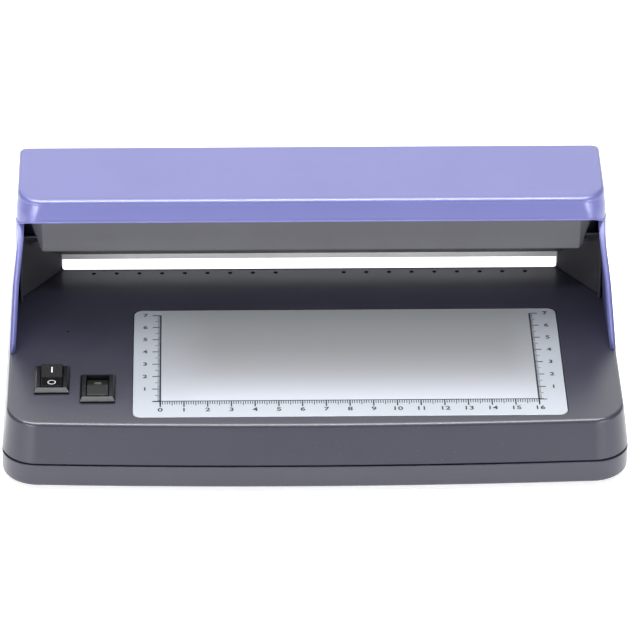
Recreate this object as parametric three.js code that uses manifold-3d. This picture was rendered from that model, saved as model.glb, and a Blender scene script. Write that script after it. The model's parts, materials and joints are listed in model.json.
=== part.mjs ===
// Counter-top banknote viewer: a low desk unit with a lit document window in its deck, a raised hood
// with two arms, a lamp horn under the hood, and two rocker switches.
// Millimetres, +Z up, +X to the right, the open front towards -Y.
// Origin: centre of the unit's outline, at the level that the rubber feet stand on.
import * as THREE from "three";
import { mergeVertices } from "three/addons/utils/BufferGeometryUtils.js";
import Module from "manifold-3d";

const wasm = await Module();
wasm.setup();

// ---- driving dimensions ------------------------------------------------------------------------
const GAP = 0.3; // clearance between pieces that seat on each other

const unit = { width: 264.6, depth: 157.2, bow: 2.6, frontRadius: 15, rearRadius: 9 };
const halfW = unit.width / 2; // at the parting seam
const front = -unit.depth / 2;
const rear = unit.depth / 2;

const foot = { radius: 6, height: 2.5, inset: 22, stem: 2, barb: 2.7 };
const trayBottom = foot.height + GAP;
const base = { wall: 2.2, trayHeight: 10.7, shellHeight: 17.5, edge: 3 };
const seam = trayBottom + base.trayHeight; // parting line between tray and top shell
const deck = seam + base.shellHeight; // top of the deck, on which documents lie
const deckUnder = deck - base.wall;
const trayFloor = trayBottom + base.wall;
const drafts = { side: 2.2, front: 5.2, rear: 1.5 }; // how far the top shell leans in, seam to deck

const panel = { length: 183.2, width: 86.5, thick: 2, radius: 5, frontMargin: 11.9, offset: 14.6 };
const panelY = front + panel.frontMargin + panel.width / 2;
const ledge = { width: 3, thick: 2 }; // rim that the panel rests on
const panelUnder = deck - panel.thick;
const ledgeTop = panelUnder - GAP;

const lightBox = { wall: 1.6, height: 14, inset: 3 };
const led = { thick: 1.6, rows: 2, columns: 9, size: 3.5, height: 1.2 };

const lamp = { radius: 7.5, length: 212, capLength: 7.7, pin: 1.1, pinPitch: 4.75, pinLength: 6.6 };
lamp.capRadius = lamp.radius + 0.25;
const lampBay = { slack: 0.6, lift: 1.25 }; // room round the side lamp, and under it
const holder = { length: 8, width: 14.4, height: 16.5 };
const bracket = { thick: 1.6 };
const diffuser = { thick: 1.2 };
const slot = { height: 5.7 };
const fold = { thick: 0.5, clear: 2.1 }; // reflector sheet, and its clearance over the upper lamp

const hood = {
  wall: 2.5,
  cornerRadius: 7.2,
  capMargin: 0.2, // the front corners are struck from a block this much wider, so they break the side
  lip: 44, // lip above the deck
  lipAhead: 34.4, // lip in front of the lit slot
  bend: 53.65, // front top edge above the deck
  lean: 1.9, // front face leans back by this, lip to top edge
  rise: 2.4, // top climbs by this, front to rear
  rearStep: 1.5, // rear foot of the hood stands in from the rear by this
  rearLean: 9, // rear wall leans in by this, deck to top
  sideStep: 2.2, // side foot of the hood stands in from the seam by this
  sideDraft: 0.062, // side walls lean in by this per millimetre of height
};
const arm = { footAhead: 69.5, notchAhead: 30.3, notch: 38.8, wall: 2.7 }; // in front of the slot
const hoodW = halfW - hood.sideStep; // half width at the deck
const hoodRear = rear - hood.rearStep;
const topRear = hoodRear - hood.rearLean;

// The side lamp stands against the hood's rear wall; the lit slot's plane lies in front of it.
const lampTop = lampBay.lift + 2 * lamp.capRadius;
const bayDepth = lampBay.slack + 2 * lamp.capRadius + GAP + diffuser.thick;
const throatY = hoodRear - hood.wall - (hood.rearLean * lampTop) / hood.bend - bayDepth;
const lipY = throatY - hood.lipAhead;
const footY = throatY - arm.footAhead;
const notchY = throatY - arm.notchAhead;
const sideLamp = {
  y: throatY + GAP + diffuser.thick + lampBay.slack / 2 + lamp.capRadius,
  z: deck + lampBay.lift + lamp.capRadius,
};
const topLamp = {
  y: throatY - 11.6,
  z: deck + hood.bend - hood.wall - 2 * GAP - lamp.radius - fold.clear,
};

const horn = { wall: 1.6, throatMargin: 2.4, mouthGap: 2, depth: 23, strip: 2.4, slope: 42 };
const throatX = lamp.length / 2 + horn.throatMargin;
const mouthX = hoodW - hood.wall - horn.mouthGap;
const mouthY = throatY - horn.depth;
const visor = { ahead: 29.2, inset: 9.3, thick: 2, drop: 16.2 }; // its lower edge hangs under the lip
const visorY = throatY - visor.ahead;
const visorX = mouthX - visor.inset;
const visorLow = deck + hood.lip - visor.drop;

const vents = { count: 9, pitch: 10, first: 15, radius: 0.7, forward: 2.7 };
const sensor = { x: -halfW + 26.8, y: front + 81.1, radius: 0.6 };

const rocker = { bodyW: 13, bodyL: 19.2, bodyDepth: 12.5, rimW: 1, rimL: 0.9, bezelH: 1.8, bevel: 1.7 };
const well = { sideWall: 1.6, endWall: 1.4, depth: 7.2 };
const wellW = rocker.bodyW - 2 * well.sideWall;
const wellL = rocker.bodyL - 2 * well.endWall;
const key = { clear: GAP, endClear: 1, topDrop: 3.2, skirt: 2.4, heel: 3, pin: 1, pinClear: 0.25 };
const keyHalf = wellL / 2 - key.endClear;
const keyW = wellW - 2 * key.clear;
const keyPivot = deck - 1; // hinge axis height of both rockers
const terminal = { thick: 0.8, width: 4.8, length: 9.5, pitch: 7 };
const mainSwitch = { x: -halfW + 20.9, y: front + 41.2, tilt: 9.2, crown: -10.8 };
const windowSwitch = { x: -halfW + 40.4, y: front + 33.9, tilt: -6, crown: 9 };

const inlet = { width: 20, height: 10, flangeW: 27, flangeH: 13, depth: 18, pinPitch: 8.6, pin: 1.2 };
inlet.x = -halfW + 37.3;
const inletZ = (seam + deckUnder) / 2;

const standoff = { radius: 2.6, height: 3 }; // tray posts under the circuit boards
const boardZ = trayFloor + standoff.height + GAP;
const ballast = { x0: -62, x1: 30, y0: rear - 48.2, y1: rear - 14.2, thick: 1.6 };
const driver = { x0: 46, x1: 92, y0: rear - 46.2, y1: rear - 20.2, thick: 1.6 };
const lead = { radius: 1.1, sides: 6 };

const screw = { head: 3, headH: 1.8, shank: 1.2, hole: 1.5, clear: 1.7, sink: 3.4 };
const caseScrews = [
  [-halfW + 10, front + 22],
  [halfW - 10, front + 22],
  [-halfW + 60, rear - 12],
  [halfW - 60, rear - 12],
];
const hoodScrews = [
  [-hoodW + 7.6, throatY - 10],
  [hoodW - 7.6, throatY - 10],
  [-hoodW + 8.6, hoodRear - 10],
  [hoodW - 8.6, hoodRear - 10],
];
const hoodBoss = { radius: 3.2, height: 24 };
const leadHole = { x: hoodW - 11.1, y: throatY + 3, radius: 2 };

// ---- shapes ------------------------------------------------------------------------------------
// A three.js geometry as a manifold solid.
function solid(geometry) {
  const bare = geometry.index ? geometry.clone() : geometry;
  for (const name of ["normal", "uv"]) bare.deleteAttribute(name);
  const merged = mergeVertices(bare, 1e-4);
  return new wasm.Manifold(
    new wasm.Mesh({
      numProp: 3,
      vertProperties: merged.attributes.position.array,
      triVerts: new Uint32Array(merged.index.array),
    }),
  );
}

// A manifold solid back as a three.js geometry.
function geometryOf(body) {
  const mesh = body.getMesh();
  return new THREE.BufferGeometry()
    .setAttribute("position", new THREE.BufferAttribute(mesh.vertProperties, 3))
    .setIndex(new THREE.BufferAttribute(mesh.triVerts, 1));
}

const join = (...bodies) => bodies.reduce((a, b) => a.add(b));
const cut = (body, ...tools) => tools.reduce((a, b) => a.subtract(b), body);

// A box between two corners.
function block(x0, x1, y0, y1, z0, z1) {
  const g = new THREE.BoxGeometry(x1 - x0, y1 - y0, z1 - z0);
  return solid(g.translate((x0 + x1) / 2, (y0 + y1) / 2, (z0 + z1) / 2));
}

// A cylinder from z0 to z1 on an upright axis.
function post(x, y, z0, z1, radius, sides = 12) {
  const g = new THREE.CylinderGeometry(radius, radius, z1 - z0, sides).rotateX(Math.PI / 2);
  return solid(g.translate(x, y, (z0 + z1) / 2));
}

// A cylinder from x0 to x1 on an axis along X.
function barX(x0, x1, y, z, radius, sides = 24) {
  const g = new THREE.CylinderGeometry(radius, radius, x1 - x0, sides).rotateZ(Math.PI / 2);
  return solid(g.translate((x0 + x1) / 2, y, z));
}

// A cylinder from y0 to y1 on an axis along Y.
function barY(x, z, y0, y1, radius, sides = 16) {
  const g = new THREE.CylinderGeometry(radius, radius, y1 - y0, sides);
  return solid(g.translate(x, (y0 + y1) / 2, z));
}

// A flat outline in (y, z), carried along X from x0 to x1.
function prismX(points, x0, x1) {
  const shape = new THREE.Shape(points.map(([y, z]) => new THREE.Vector2(y, z)));
  const g = new THREE.ExtrudeGeometry(shape, { depth: x1 - x0, bevelEnabled: false });
  // (u, v, w) of the extrusion becomes (w, u, v)
  g.applyMatrix4(new THREE.Matrix4().set(0, 0, 1, x0, 1, 0, 0, 0, 0, 1, 0, 0, 0, 0, 0, 1));
  return solid(g);
}

// A flat outline in (x, y), carried up from z0 to z1.
function slab(shape, z0, z1, curveSegments = 5) {
  const g = new THREE.ExtrudeGeometry(shape, { depth: z1 - z0, bevelEnabled: false, curveSegments });
  return solid(g.translate(0, 0, z0));
}

// A rectangle with its own radius at the front and at the rear corners; the front edge bows out.
function outline(x0, x1, y0, y1, rFront, rRear, bow = 0) {
  const s = new THREE.Shape();
  const mid = (x0 + x1) / 2;
  s.moveTo(x0 + rFront, y0 + bow);
  if (bow) s.quadraticCurveTo(mid, y0 - bow, x1 - rFront, y0 + bow);
  else s.lineTo(x1 - rFront, y0);
  s.absarc(x1 - rFront, y0 + bow + rFront, rFront, -Math.PI / 2, 0);
  s.lineTo(x1, y1 - rRear);
  s.absarc(x1 - rRear, y1 - rRear, rRear, 0, Math.PI / 2);
  s.lineTo(x0 + rRear, y1);
  s.absarc(x0 + rRear, y1 - rRear, rRear, Math.PI / 2, Math.PI);
  s.lineTo(x0, y0 + bow + rFront);
  s.absarc(x0 + rFront, y0 + bow + rFront, rFront, Math.PI, 1.5 * Math.PI);
  return s;
}

// An outline carried up with leaning walls: lean(t, p) moves a point p at the share t of the height.
function leaning(shape, z0, z1, lean, bevel = 0) {
  const g = new THREE.ExtrudeGeometry(shape, {
    depth: z1 - z0 - 2 * bevel,
    curveSegments: 6,
    bevelEnabled: bevel > 0,
    bevelThickness: bevel,
    bevelSize: bevel,
    bevelOffset: -bevel,
    bevelSegments: 3,
  }).translate(0, 0, z0 + bevel);
  const at = g.attributes.position;
  for (let i = 0; i < at.count; i++) {
    const [x, y] = lean(at.getZ(i), at.getX(i), at.getY(i));
    at.setXY(i, x, y);
  }
  return solid(g);
}

const parts = new THREE.Group();

// Adds a finished piece to the unit.
function piece(name, body, [color, roughness, metalness = 0], extra = {}) {
  const material = new THREE.MeshStandardMaterial({ color, roughness, metalness, ...extra });
  const mesh = new THREE.Mesh(geometryOf(body), material);
  mesh.name = name;
  parts.add(mesh);
}

const finish = {
  casing: [0x5a5e6e, 0.45],
  hood: [0xa1a4d7, 0.32],
  inner: [0x4a4a50, 0.5],
  opal: [0xe4e8ee, 0.25],
  white: [0xf0f0ee, 0.5],
  board: [0x2f6b3c, 0.5],
  black: [0x18181a, 0.35],
  smoke: [0x23261f, 0.2],
  brass: [0xb59a4a, 0.35, 0.9],
  steel: [0x9a9da2, 0.35, 0.9],
  tin: [0xc4c7ca, 0.3, 0.9],
  rubber: [0x1c1c1e, 0.85],
  ferrite: [0x3c3c40, 0.7],
  can: [0x2a3f7a, 0.4],
  glass: [0xf2f4ff, 0.1],
  brown: [0x6a3a22, 0.5],
  blue: [0x2f5fa8, 0.5],
};

// ---- base --------------------------------------------------------------------------------------
// How the top shell's walls lean in between the seam and the deck.
function shellLean(inset) {
  return (z, x, y) => {
    const t = (z - seam) / base.shellHeight;
    const shiftY = y < 0 ? (drafts.front * y) / front : (-drafts.rear * y) / rear;
    return [x * (1 - (t * drafts.side) / (halfW - inset)), y + t * shiftY];
  };
}

function baseOutline(inset) {
  const { bow, frontRadius, rearRadius } = unit;
  const x = halfW - inset;
  return outline(-x, x, front + inset, rear - inset, frontRadius - inset, rearRadius - inset, bow);
}

function shellBody(inset, z0, z1, bevel = 0) {
  return leaning(baseOutline(inset), z0, z1, shellLean(inset), bevel);
}

// A rounded rectangle around the document window, grown by a margin.
function windowOutline(margin) {
  const x = panel.length / 2 + margin;
  const y = panel.width / 2 + margin;
  const r = Math.max(panel.radius + margin, 1);
  return outline(panel.offset - x, panel.offset + x, panelY - y, panelY + y, r, r);
}

function topShell() {
  // the deck's rounded edge stops at the arms, whose feet stand on a square shoulder
  const below = block(-300, 300, -300, 300, 0, seam + GAP / 2);
  const rounded = cut(shellBody(0, seam - 6, deck, base.edge), block(-300, 300, footY, 300, 0, 300));
  const square = cut(shellBody(0, seam - 6, deck), block(-300, 300, -300, footY, 0, 300));
  const outer = cut(join(rounded, square), below);
  const inner = shellBody(base.wall, seam - 6, deckUnder);
  const collar = slab(windowOutline(GAP + base.wall), ledgeTop - ledge.thick, deckUnder + 0.5);
  const posts = caseScrews.map(([x, y]) => post(x, y, trayFloor + 5 + GAP, deckUnder + 0.5, 4));
  const body = join(cut(outer, inner), collar, ...posts);
  const tools = [
    slab(windowOutline(GAP), ledgeTop, deck + 1),
    slab(windowOutline(-ledge.width), ledgeTop - 10, deck + 1),
    ...caseScrews.map(([x, y]) => post(x, y, trayFloor, deckUnder - 2, screw.hole)),
    ...hoodScrews.map(([x, y]) => post(x, y, deckUnder - 1, deck + 1, screw.clear)),
    ...[-1, 1].map((s) => post(s * leadHole.x, leadHole.y, deckUnder - 1, deck + 1, leadHole.radius + GAP)),
    ...ventHoles(),
    post(sensor.x, sensor.y, deckUnder - 1, deck + 1, sensor.radius, 10),
    ...[mainSwitch, windowSwitch].map((s) => switchHole(s)),
    inletHole(),
  ];
  return cut(body, ...tools);
}

// Two rows of small vent holes along the lamp horn's lit slot.
function ventHoles() {
  const holes = [];
  for (const side of [-1, 1]) {
    for (let i = 0; i < vents.count; i++) {
      const x = side * (vents.first + i * vents.pitch);
      holes.push(post(x, throatY - vents.forward, deckUnder - 1, deck + 1, vents.radius, 8));
    }
  }
  return holes;
}

function switchHole(s) {
  const x = rocker.bodyW / 2 + GAP;
  const y = rocker.bodyL / 2 + GAP;
  return block(s.x - x, s.x + x, s.y - y, s.y + y, deckUnder - 1, deck + 1);
}

function inletHole() {
  const x = inlet.width / 2 + GAP;
  const z = inlet.height / 2 + GAP;
  return block(inlet.x - x, inlet.x + x, rear - 12, rear + 5, inletZ - z, inletZ + z);
}

function tray() {
  const top = seam - GAP / 2;
  const flat = (z, x, y) => [x, y];
  const outer = cut(
    leaning(baseOutline(0), trayBottom, seam + 8, flat, base.edge),
    block(-300, 300, -300, 300, top, seam + 20),
  );
  const inner = slab(baseOutline(base.wall), trayFloor, seam + 20, 5);
  const pads = caseScrews.map(([x, y]) => post(x, y, trayFloor - 0.5, trayFloor + 5, 4.6));
  const props = standoffs().map(([x, y]) => post(x, y, trayFloor - 0.5, boardZ - GAP, standoff.radius, 12));
  const body = join(cut(outer, inner), ...pads, ...props);
  const slots = [];
  for (const side of [-1, 1]) {
    for (let i = 0; i < 7; i++) {
      const x = side * (34 + i * 7);
      slots.push(block(x - 1.2, x + 1.2, rear - 50, rear - 20, trayBottom - 1, trayFloor + 1));
    }
  }
  const tools = [
    ...caseScrews.map(([x, y]) => post(x, y, trayBottom - 1, trayFloor + 6, screw.clear)),
    ...caseScrews.map(([x, y]) => post(x, y, trayBottom - 1, trayBottom + 3, screw.sink)),
    ...feetAt().map(([x, y]) => post(x, y, trayBottom - 1, trayFloor + 1, foot.stem + GAP, 12)),
    ...slots,
  ];
  return cut(body, ...tools);
}

function feetAt() {
  const x = halfW - foot.inset;
  return [
    [-x, front + foot.inset + 14],
    [x, front + foot.inset + 14],
    [-x, rear - foot.inset],
    [x, rear - foot.inset],
  ];
}

// Push-in foot: a disc, a stem through the tray and a barb above it.
function rubberFoot([x, y]) {
  const { radius, height, stem, barb } = foot;
  const top = trayFloor + GAP;
  const profile = [
    [0, 0],
    [radius - 0.8, 0],
    [radius, 0.8],
    [radius, height - 0.4],
    [radius - 0.4, height],
    [stem, height],
    [stem, top],
    [barb, top],
    [stem * 0.6, top + 2.4],
    [0, top + 2.4],
  ].map(([r, z]) => new THREE.Vector2(r, z));
  return solid(new THREE.LatheGeometry(profile, 12).rotateX(Math.PI / 2).translate(x, y, 0));
}

// A pan-head screw that points up, its head's underside at z.
function screwUp([x, y], z, length) {
  return join(
    cut(
      post(x, y, z - screw.headH, z, screw.head, 10),
      block(x - 0.4, x + 0.4, y - 2, y + 2, z - screw.headH - 1, z - screw.headH + 0.9),
      block(x - 2, x + 2, y - 0.4, y + 0.4, z - screw.headH - 1, z - screw.headH + 0.9),
    ),
    post(x, y, z - 0.2, z + length, screw.shank, 8),
  );
}

piece("base_tray", tray(), finish.casing);
piece("top_shell", topShell(), finish.casing);
feetAt().forEach((at, i) => piece(`rubber_foot_${i + 1}`, rubberFoot(at), finish.rubber));
caseScrews.forEach((at, i) => {
  piece(`case_screw_${i + 1}`, screwUp(at, trayBottom + 3 - GAP, 12), finish.steel);
});

// ---- document window and its light ---------------------------------------------------------------
piece("document_window", slab(windowOutline(0), panelUnder, deck), finish.opal);

function lightBoxBody() {
  const top = ledgeTop - ledge.thick - GAP;
  const rim = slab(windowOutline(0), top - 1.6, top);
  const outer = slab(windowOutline(-lightBox.inset), top - lightBox.height, top);
  const inner = slab(windowOutline(-lightBox.inset - lightBox.wall), top - lightBox.height + lightBox.wall, top + 1);
  return cut(join(rim, outer), inner);
}

function ledBoard() {
  const floor = ledgeTop - ledge.thick - GAP - lightBox.height + lightBox.wall + GAP;
  const margin = -lightBox.inset - lightBox.wall - 1.5;
  const body = [slab(windowOutline(margin), floor, floor + led.thick)];
  for (let row = 0; row < led.rows; row++) {
    for (let i = 0; i < led.columns; i++) {
      const x = panel.offset + ((i - (led.columns - 1) / 2) * (panel.length - 28)) / (led.columns - 1);
      const y = panelY + (row - 0.5) * panel.width * 0.45;
      const h = led.size / 2;
      body.push(block(x - h, x + h, y - h, y + h, floor + led.thick - 0.1, floor + led.thick + led.height));
    }
  }
  return join(...body);
}

piece("light_box", lightBoxBody(), finish.white);
piece("led_board", ledBoard(), finish.white);

// ---- hood --------------------------------------------------------------------------------------
// The hood's walls lean in as they rise: sides by a fixed draft, front and rear by their own lean.
function hoodLean(frontLean) {
  return (z, x, y) => {
    const up = z - deck;
    const half = hoodW - hood.sideDraft * up;
    const nx = (x / hoodW) * half;
    const ny = y < lipY + 25 ? y + frontLean * (up - hood.lip) : y - (hood.rearLean * up) / hood.bend;
    return [nx, ny];
  };
}

// Hood block between two levels, its outline set in by a margin and its front at y0.
function hoodBlock(inset, y0, radius, z0, z1, frontLean) {
  const x = hoodW - inset;
  const shape = outline(-x, x, y0, hoodRear - inset, radius, Math.max(unit.rearRadius - inset, 1));
  return leaning(shape, z0, z1, hoodLean(frontLean));
}

function hoodCover() {
  const low = deck + GAP;
  const high = deck + hood.bend + hood.rise + 8;
  const lean = hood.lean / (hood.bend - hood.lip);
  const bendY = lipY + hood.lean;
  const cap = hoodBlock(-hood.capMargin, lipY, hood.cornerRadius, deck + arm.notch - 8, high, lean);
  const flank = hoodBlock(0, front, 1, low, high, 0);
  const armSide = prismX(
    [
      [footY, deck],
      [notchY, deck + arm.notch],
      [notchY + 9, deck + arm.notch + 3],
      [rear + 5, deck + arm.notch + 3],
      [rear + 5, deck],
    ],
    -200,
    200,
  );
  // everything under the lip and in front of the arms
  const frontCut = prismX(
    [
      [front - 50, deck - 5],
      [footY - 5, deck - 5],
      [notchY, deck + arm.notch],
      [lipY, deck + hood.lip],
      [front - 50, deck + hood.lip],
    ],
    -200,
    200,
  );
  const lipHalf = hoodW - hood.cornerRadius - hood.sideDraft * hood.lip;
  const lipCut = block(-lipHalf, lipHalf, front, lipY + hood.wall + 1.5, deck, deck + hood.lip);
  const roofCut = prismX(
    [
      [front - 50, deck + hood.bend - 4],
      [bendY, deck + hood.bend],
      [topRear - 5, deck + hood.bend + hood.rise],
      [topRear + 2, deck + hood.bend + hood.rise - 5],
      [rear + 30, deck + hood.bend - 30],
      [rear + 30, high + 5],
      [front - 50, high + 5],
    ],
    -200,
    200,
  );
  const w = hood.wall;
  const roofIn = prismX(
    [
      [front - 50, deck - 5],
      [rear + 20, deck - 5],
      [rear + 20, deck + hood.bend - 20],
      [topRear, deck + hood.bend + hood.rise - w - 4],
      [topRear - 5 - w, deck + hood.bend + hood.rise - w],
      [bendY, deck + hood.bend - w],
      [front - 50, deck + hood.bend - w - 4],
    ],
    -200,
    200,
  );
  const hollow = hoodBlock(w, lipY + w, hood.cornerRadius - w, deck - 5, high, lean).intersect(roofIn);
  const between = hoodBlock(arm.wall, front - 5, 0.5, deck - 5, deck + arm.notch, 0);
  const aisle = between.intersect(block(-200, 200, front - 50, notchY + 8, deck - 5, deck + arm.notch));
  const shell = cut(flank.intersect(join(cap, armSide)), frontCut, lipCut, roofCut, hollow, aisle);
  const bosses = hoodScrews.map(([x, y]) => hoodBossAt(x, y, low));
  const holes = hoodScrews.map(([x, y]) => post(x, y, low - 1, low + 14, screw.hole));
  return cut(join(shell, ...bosses), ...holes, ...louvres());
}

// A screw boss with a rib that ties it to the side wall.
function hoodBossAt(x, y, low) {
  const side = Math.sign(x);
  const wallX = side * (hoodW - hood.sideDraft * hoodBoss.height - 1.2);
  const rib = block(Math.min(x, wallX), Math.max(x, wallX), y - 1, y + 1, low, low + hoodBoss.height);
  return join(post(x, y, low, low + hoodBoss.height, hoodBoss.radius, 16), rib);
}

// Rear louvres that let the lamp's warmth out.
function louvres() {
  const cuts = [];
  for (let i = 0; i < 9; i++) {
    const x = (i - 4) * 18;
    for (const z of [deck + 26, deck + 32]) cuts.push(block(x - 6.5, x + 6.5, hoodRear - 14, rear + 5, z, z + 2));
  }
  return cuts;
}

piece("hood_cover", hoodCover(), finish.hood);
hoodScrews.forEach((at, i) => {
  piece(`hood_screw_${i + 1}`, screwUp(at, deckUnder - GAP, 12), finish.steel);
});

// ---- lamp horn -----------------------------------------------------------------------------------
// Plan outline of the horn: narrow at the lit slot, flared to the arms.
function hornPlan(grow, forward) {
  const k = (mouthX - throatX) / horn.depth;
  const wide = mouthX + forward * k + grow;
  const s = new THREE.Shape();
  s.moveTo(-wide, mouthY - forward);
  s.lineTo(wide, mouthY - forward);
  s.lineTo(throatX + grow, throatY);
  s.lineTo(throatX + grow, throatY + grow);
  s.lineTo(-throatX - grow, throatY + grow);
  s.lineTo(-throatX - grow, throatY);
  return s;
}

// Everything under the horn's sloped roof, the roof raised by a margin.
function underRoof(raise) {
  const rise = Math.tan((horn.slope * Math.PI) / 180);
  const eave = deck + slot.height + horn.strip + raise;
  const reach = 60;
  return prismX(
    [
      [throatY + 20, deck - 20],
      [throatY + 20, eave],
      [throatY, eave],
      [throatY - reach, eave + reach * rise],
      [throatY - reach, deck - 20],
    ],
    -200,
    200,
  );
}

function lampHorn() {
  const roofZ = horn.wall / Math.cos((horn.slope * Math.PI) / 180);
  const visorBack = visorY + visor.thick;
  const fitX = hoodW - hood.wall - GAP; // inside the hood's side walls
  const shellOut = slab(hornPlan(horn.wall, 8), deck + GAP, deck + 60).intersect(underRoof(roofZ));
  const shellIn = slab(hornPlan(0, 30), deck - 1, deck + 60).intersect(underRoof(0));
  const mouthCut = block(-200, 200, front, visorBack - 0.5, deck - 1, deck + 60);
  const sides = [-1, 1].map((s) => {
    const x0 = s > 0 ? fitX - hood.sideDraft * 30 : -200;
    const x1 = s > 0 ? 200 : -fitX + hood.sideDraft * 30;
    return block(x0, x1, front, rear, deck - 1, deck + 60);
  });
  const visorTop = deck + hood.bend - hood.wall - 1;
  const shade = prismX(
    [
      [visorY, visorLow],
      [visorBack, visorLow],
      [visorBack, visorTop],
      [visorY, visorTop],
    ],
    -visorX,
    visorX,
  );
  const window = block(-100, 100, visorBack + 2, throatY - 10, deck + 14, deck + 60).intersect(underRoof(roofZ + 1));
  const lit = block(-throatX, throatX, throatY - 1, throatY + 10, deck - 1, deck + slot.height);
  const horned = cut(cut(shellOut, shellIn), mouthCut, ...sides, lit, window);
  const brackets = [-1, 1].map((s) => holderBracket(s));
  return join(horned, shade, ...brackets);
}

// Upright plate that carries the upper lamp's holder on the horn's roof.
function holderBracket(side) {
  const x0 = lamp.length / 2 + GAP + holder.length + GAP;
  const plate = prismX(
    [
      [visorY + visor.thick - 0.2, deck + hood.lip - 10],
      [topLamp.y + 2, deck + 20],
      [topLamp.y + 8, deck + 20],
      [topLamp.y + 8, topLamp.z + 7],
      [visorY + visor.thick - 0.2, topLamp.z + 7],
    ],
    Math.min(side * x0, side * (x0 + bracket.thick)),
    Math.max(side * x0, side * (x0 + bracket.thick)),
  );
  return plate;
}

piece("lamp_horn", lampHorn(), finish.inner);

const diffuserX = throatX - GAP;
const diffuserBody = block(
  -diffuserX,
  diffuserX,
  throatY + GAP,
  throatY + GAP + diffuser.thick,
  deck + GAP,
  deck + slot.height - GAP,
);
piece("slot_diffuser", diffuserBody, finish.opal, { emissive: 0xffffff, emissiveIntensity: 1 });

// ---- lamps ---------------------------------------------------------------------------------------
function tubeCap(side, at) {
  const end = lamp.length / 2;
  const start = end - lamp.capLength;
  const span = (a, b) => (side > 0 ? [a, b] : [-b, -a]);
  const pins = [-0.5, 0.5].map((k) => {
    return barX(...span(end - 0.5, end + lamp.pinLength), at.y, at.z + k * lamp.pinPitch, lamp.pin, 8);
  });
  return join(barX(...span(start, end), at.y, at.z, lamp.capRadius), ...pins);
}

function tubeHolder(side, at) {
  const x0 = lamp.length / 2 + GAP;
  const [a, b] = side > 0 ? [x0, x0 + holder.length] : [-x0 - holder.length, -x0];
  const body = block(a, b, at.y - holder.width / 2, at.y + holder.width / 2, at.z - 8, at.z - 8 + holder.height);
  const [p, q] = side > 0 ? [x0 - 1, x0 + lamp.pinLength + GAP] : [-x0 - lamp.pinLength - GAP, -x0 + 1];
  const slotW = lamp.pin + GAP;
  const groove = block(p, q, at.y - slotW, at.y + slotW, at.z - lamp.pinPitch / 2 - slotW, at.z + 20);
  return cut(body, groove);
}

for (const [name, at] of Object.entries({ side_lamp: sideLamp, top_lamp: topLamp })) {
  const glassX = lamp.length / 2 - lamp.capLength - GAP;
  piece(`${name}_tube`, barX(-glassX, glassX, at.y, at.z, lamp.radius), finish.glass);
  for (const side of [-1, 1]) {
    const hand = side < 0 ? "left" : "right";
    piece(`${name}_cap_${hand}`, tubeCap(side, at), finish.tin);
    piece(`${name}_holder_${hand}`, tubeHolder(side, at), finish.white);
  }
}

// Folded sheet over the upper lamp.
function reflector() {
  const r = lamp.radius + fold.clear;
  const outline = [
    [-r - 1, -4],
    [-r + 1.2, 5.5],
    [-4, r],
    [4, r],
    [r - 1.2, 5.5],
    [r + 1, -4],
  ];
  const outer = outline.map(([y, z]) => [topLamp.y + y, topLamp.z + z]);
  const inner = outline.map(([y, z]) => {
    return [topLamp.y + y * (1 - fold.thick / r), topLamp.z + z - fold.thick];
  });
  return prismX([...outer, ...inner.reverse()], -102, 102);
}
piece("lamp_reflector", reflector(), finish.tin);

// ---- electronics ---------------------------------------------------------------------------------
function standoffs() {
  return [ballast, driver].flatMap((b) => [
    [b.x0 + 4, b.y0 + 4],
    [b.x1 - 4, b.y0 + 4],
    [b.x0 + 4, b.y1 - 4],
    [b.x1 - 4, b.y1 - 4],
  ]);
}

function board(b) {
  return block(b.x0, b.x1, b.y0, b.y1, boardZ, boardZ + b.thick);
}

// A wound core: an E-shaped ferrite pair round a bobbin.
function woundCore(x, y, z, length, width, height) {
  const core = block(x - length / 2, x + length / 2, y - width / 3, y + width / 3, z, z + height);
  const coil = block(x - length / 3, x + length / 3, y - width / 2, y + width / 2, z + 1.5, z + height - 1.5);
  return join(core, coil);
}

const onBallast = boardZ + ballast.thick + GAP;
const onDriver = boardZ + driver.thick + GAP;
const midY = (ballast.y0 + ballast.y1) / 2;
piece("ballast_board", board(ballast), finish.board);
piece("ballast_transformer", woundCore(ballast.x0 + 24, midY, onBallast, 20, 18, 13), finish.ferrite);
piece("ballast_choke", woundCore(ballast.x0 + 50, midY + 4, onBallast, 16, 14, 11), finish.ferrite);
piece("ballast_capacitor_1", post(ballast.x1 - 20, midY - 6, onBallast, onBallast + 13, 4.8), finish.can);
piece("ballast_capacitor_2", post(ballast.x1 - 20, midY + 6, onBallast, onBallast + 13, 4.8), finish.can);
piece("led_driver_board", board(driver), finish.board);
piece(
  "led_driver_transformer",
  woundCore(driver.x0 + 20, (driver.y0 + driver.y1) / 2, onDriver, 16, 14, 12),
  finish.ferrite,
);

// ---- mains inlet ---------------------------------------------------------------------------------
const inletWall = rear - drafts.rear * ((inletZ - seam) / base.shellHeight);
const flangeY = inletWall - base.wall - 1.2;

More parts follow.
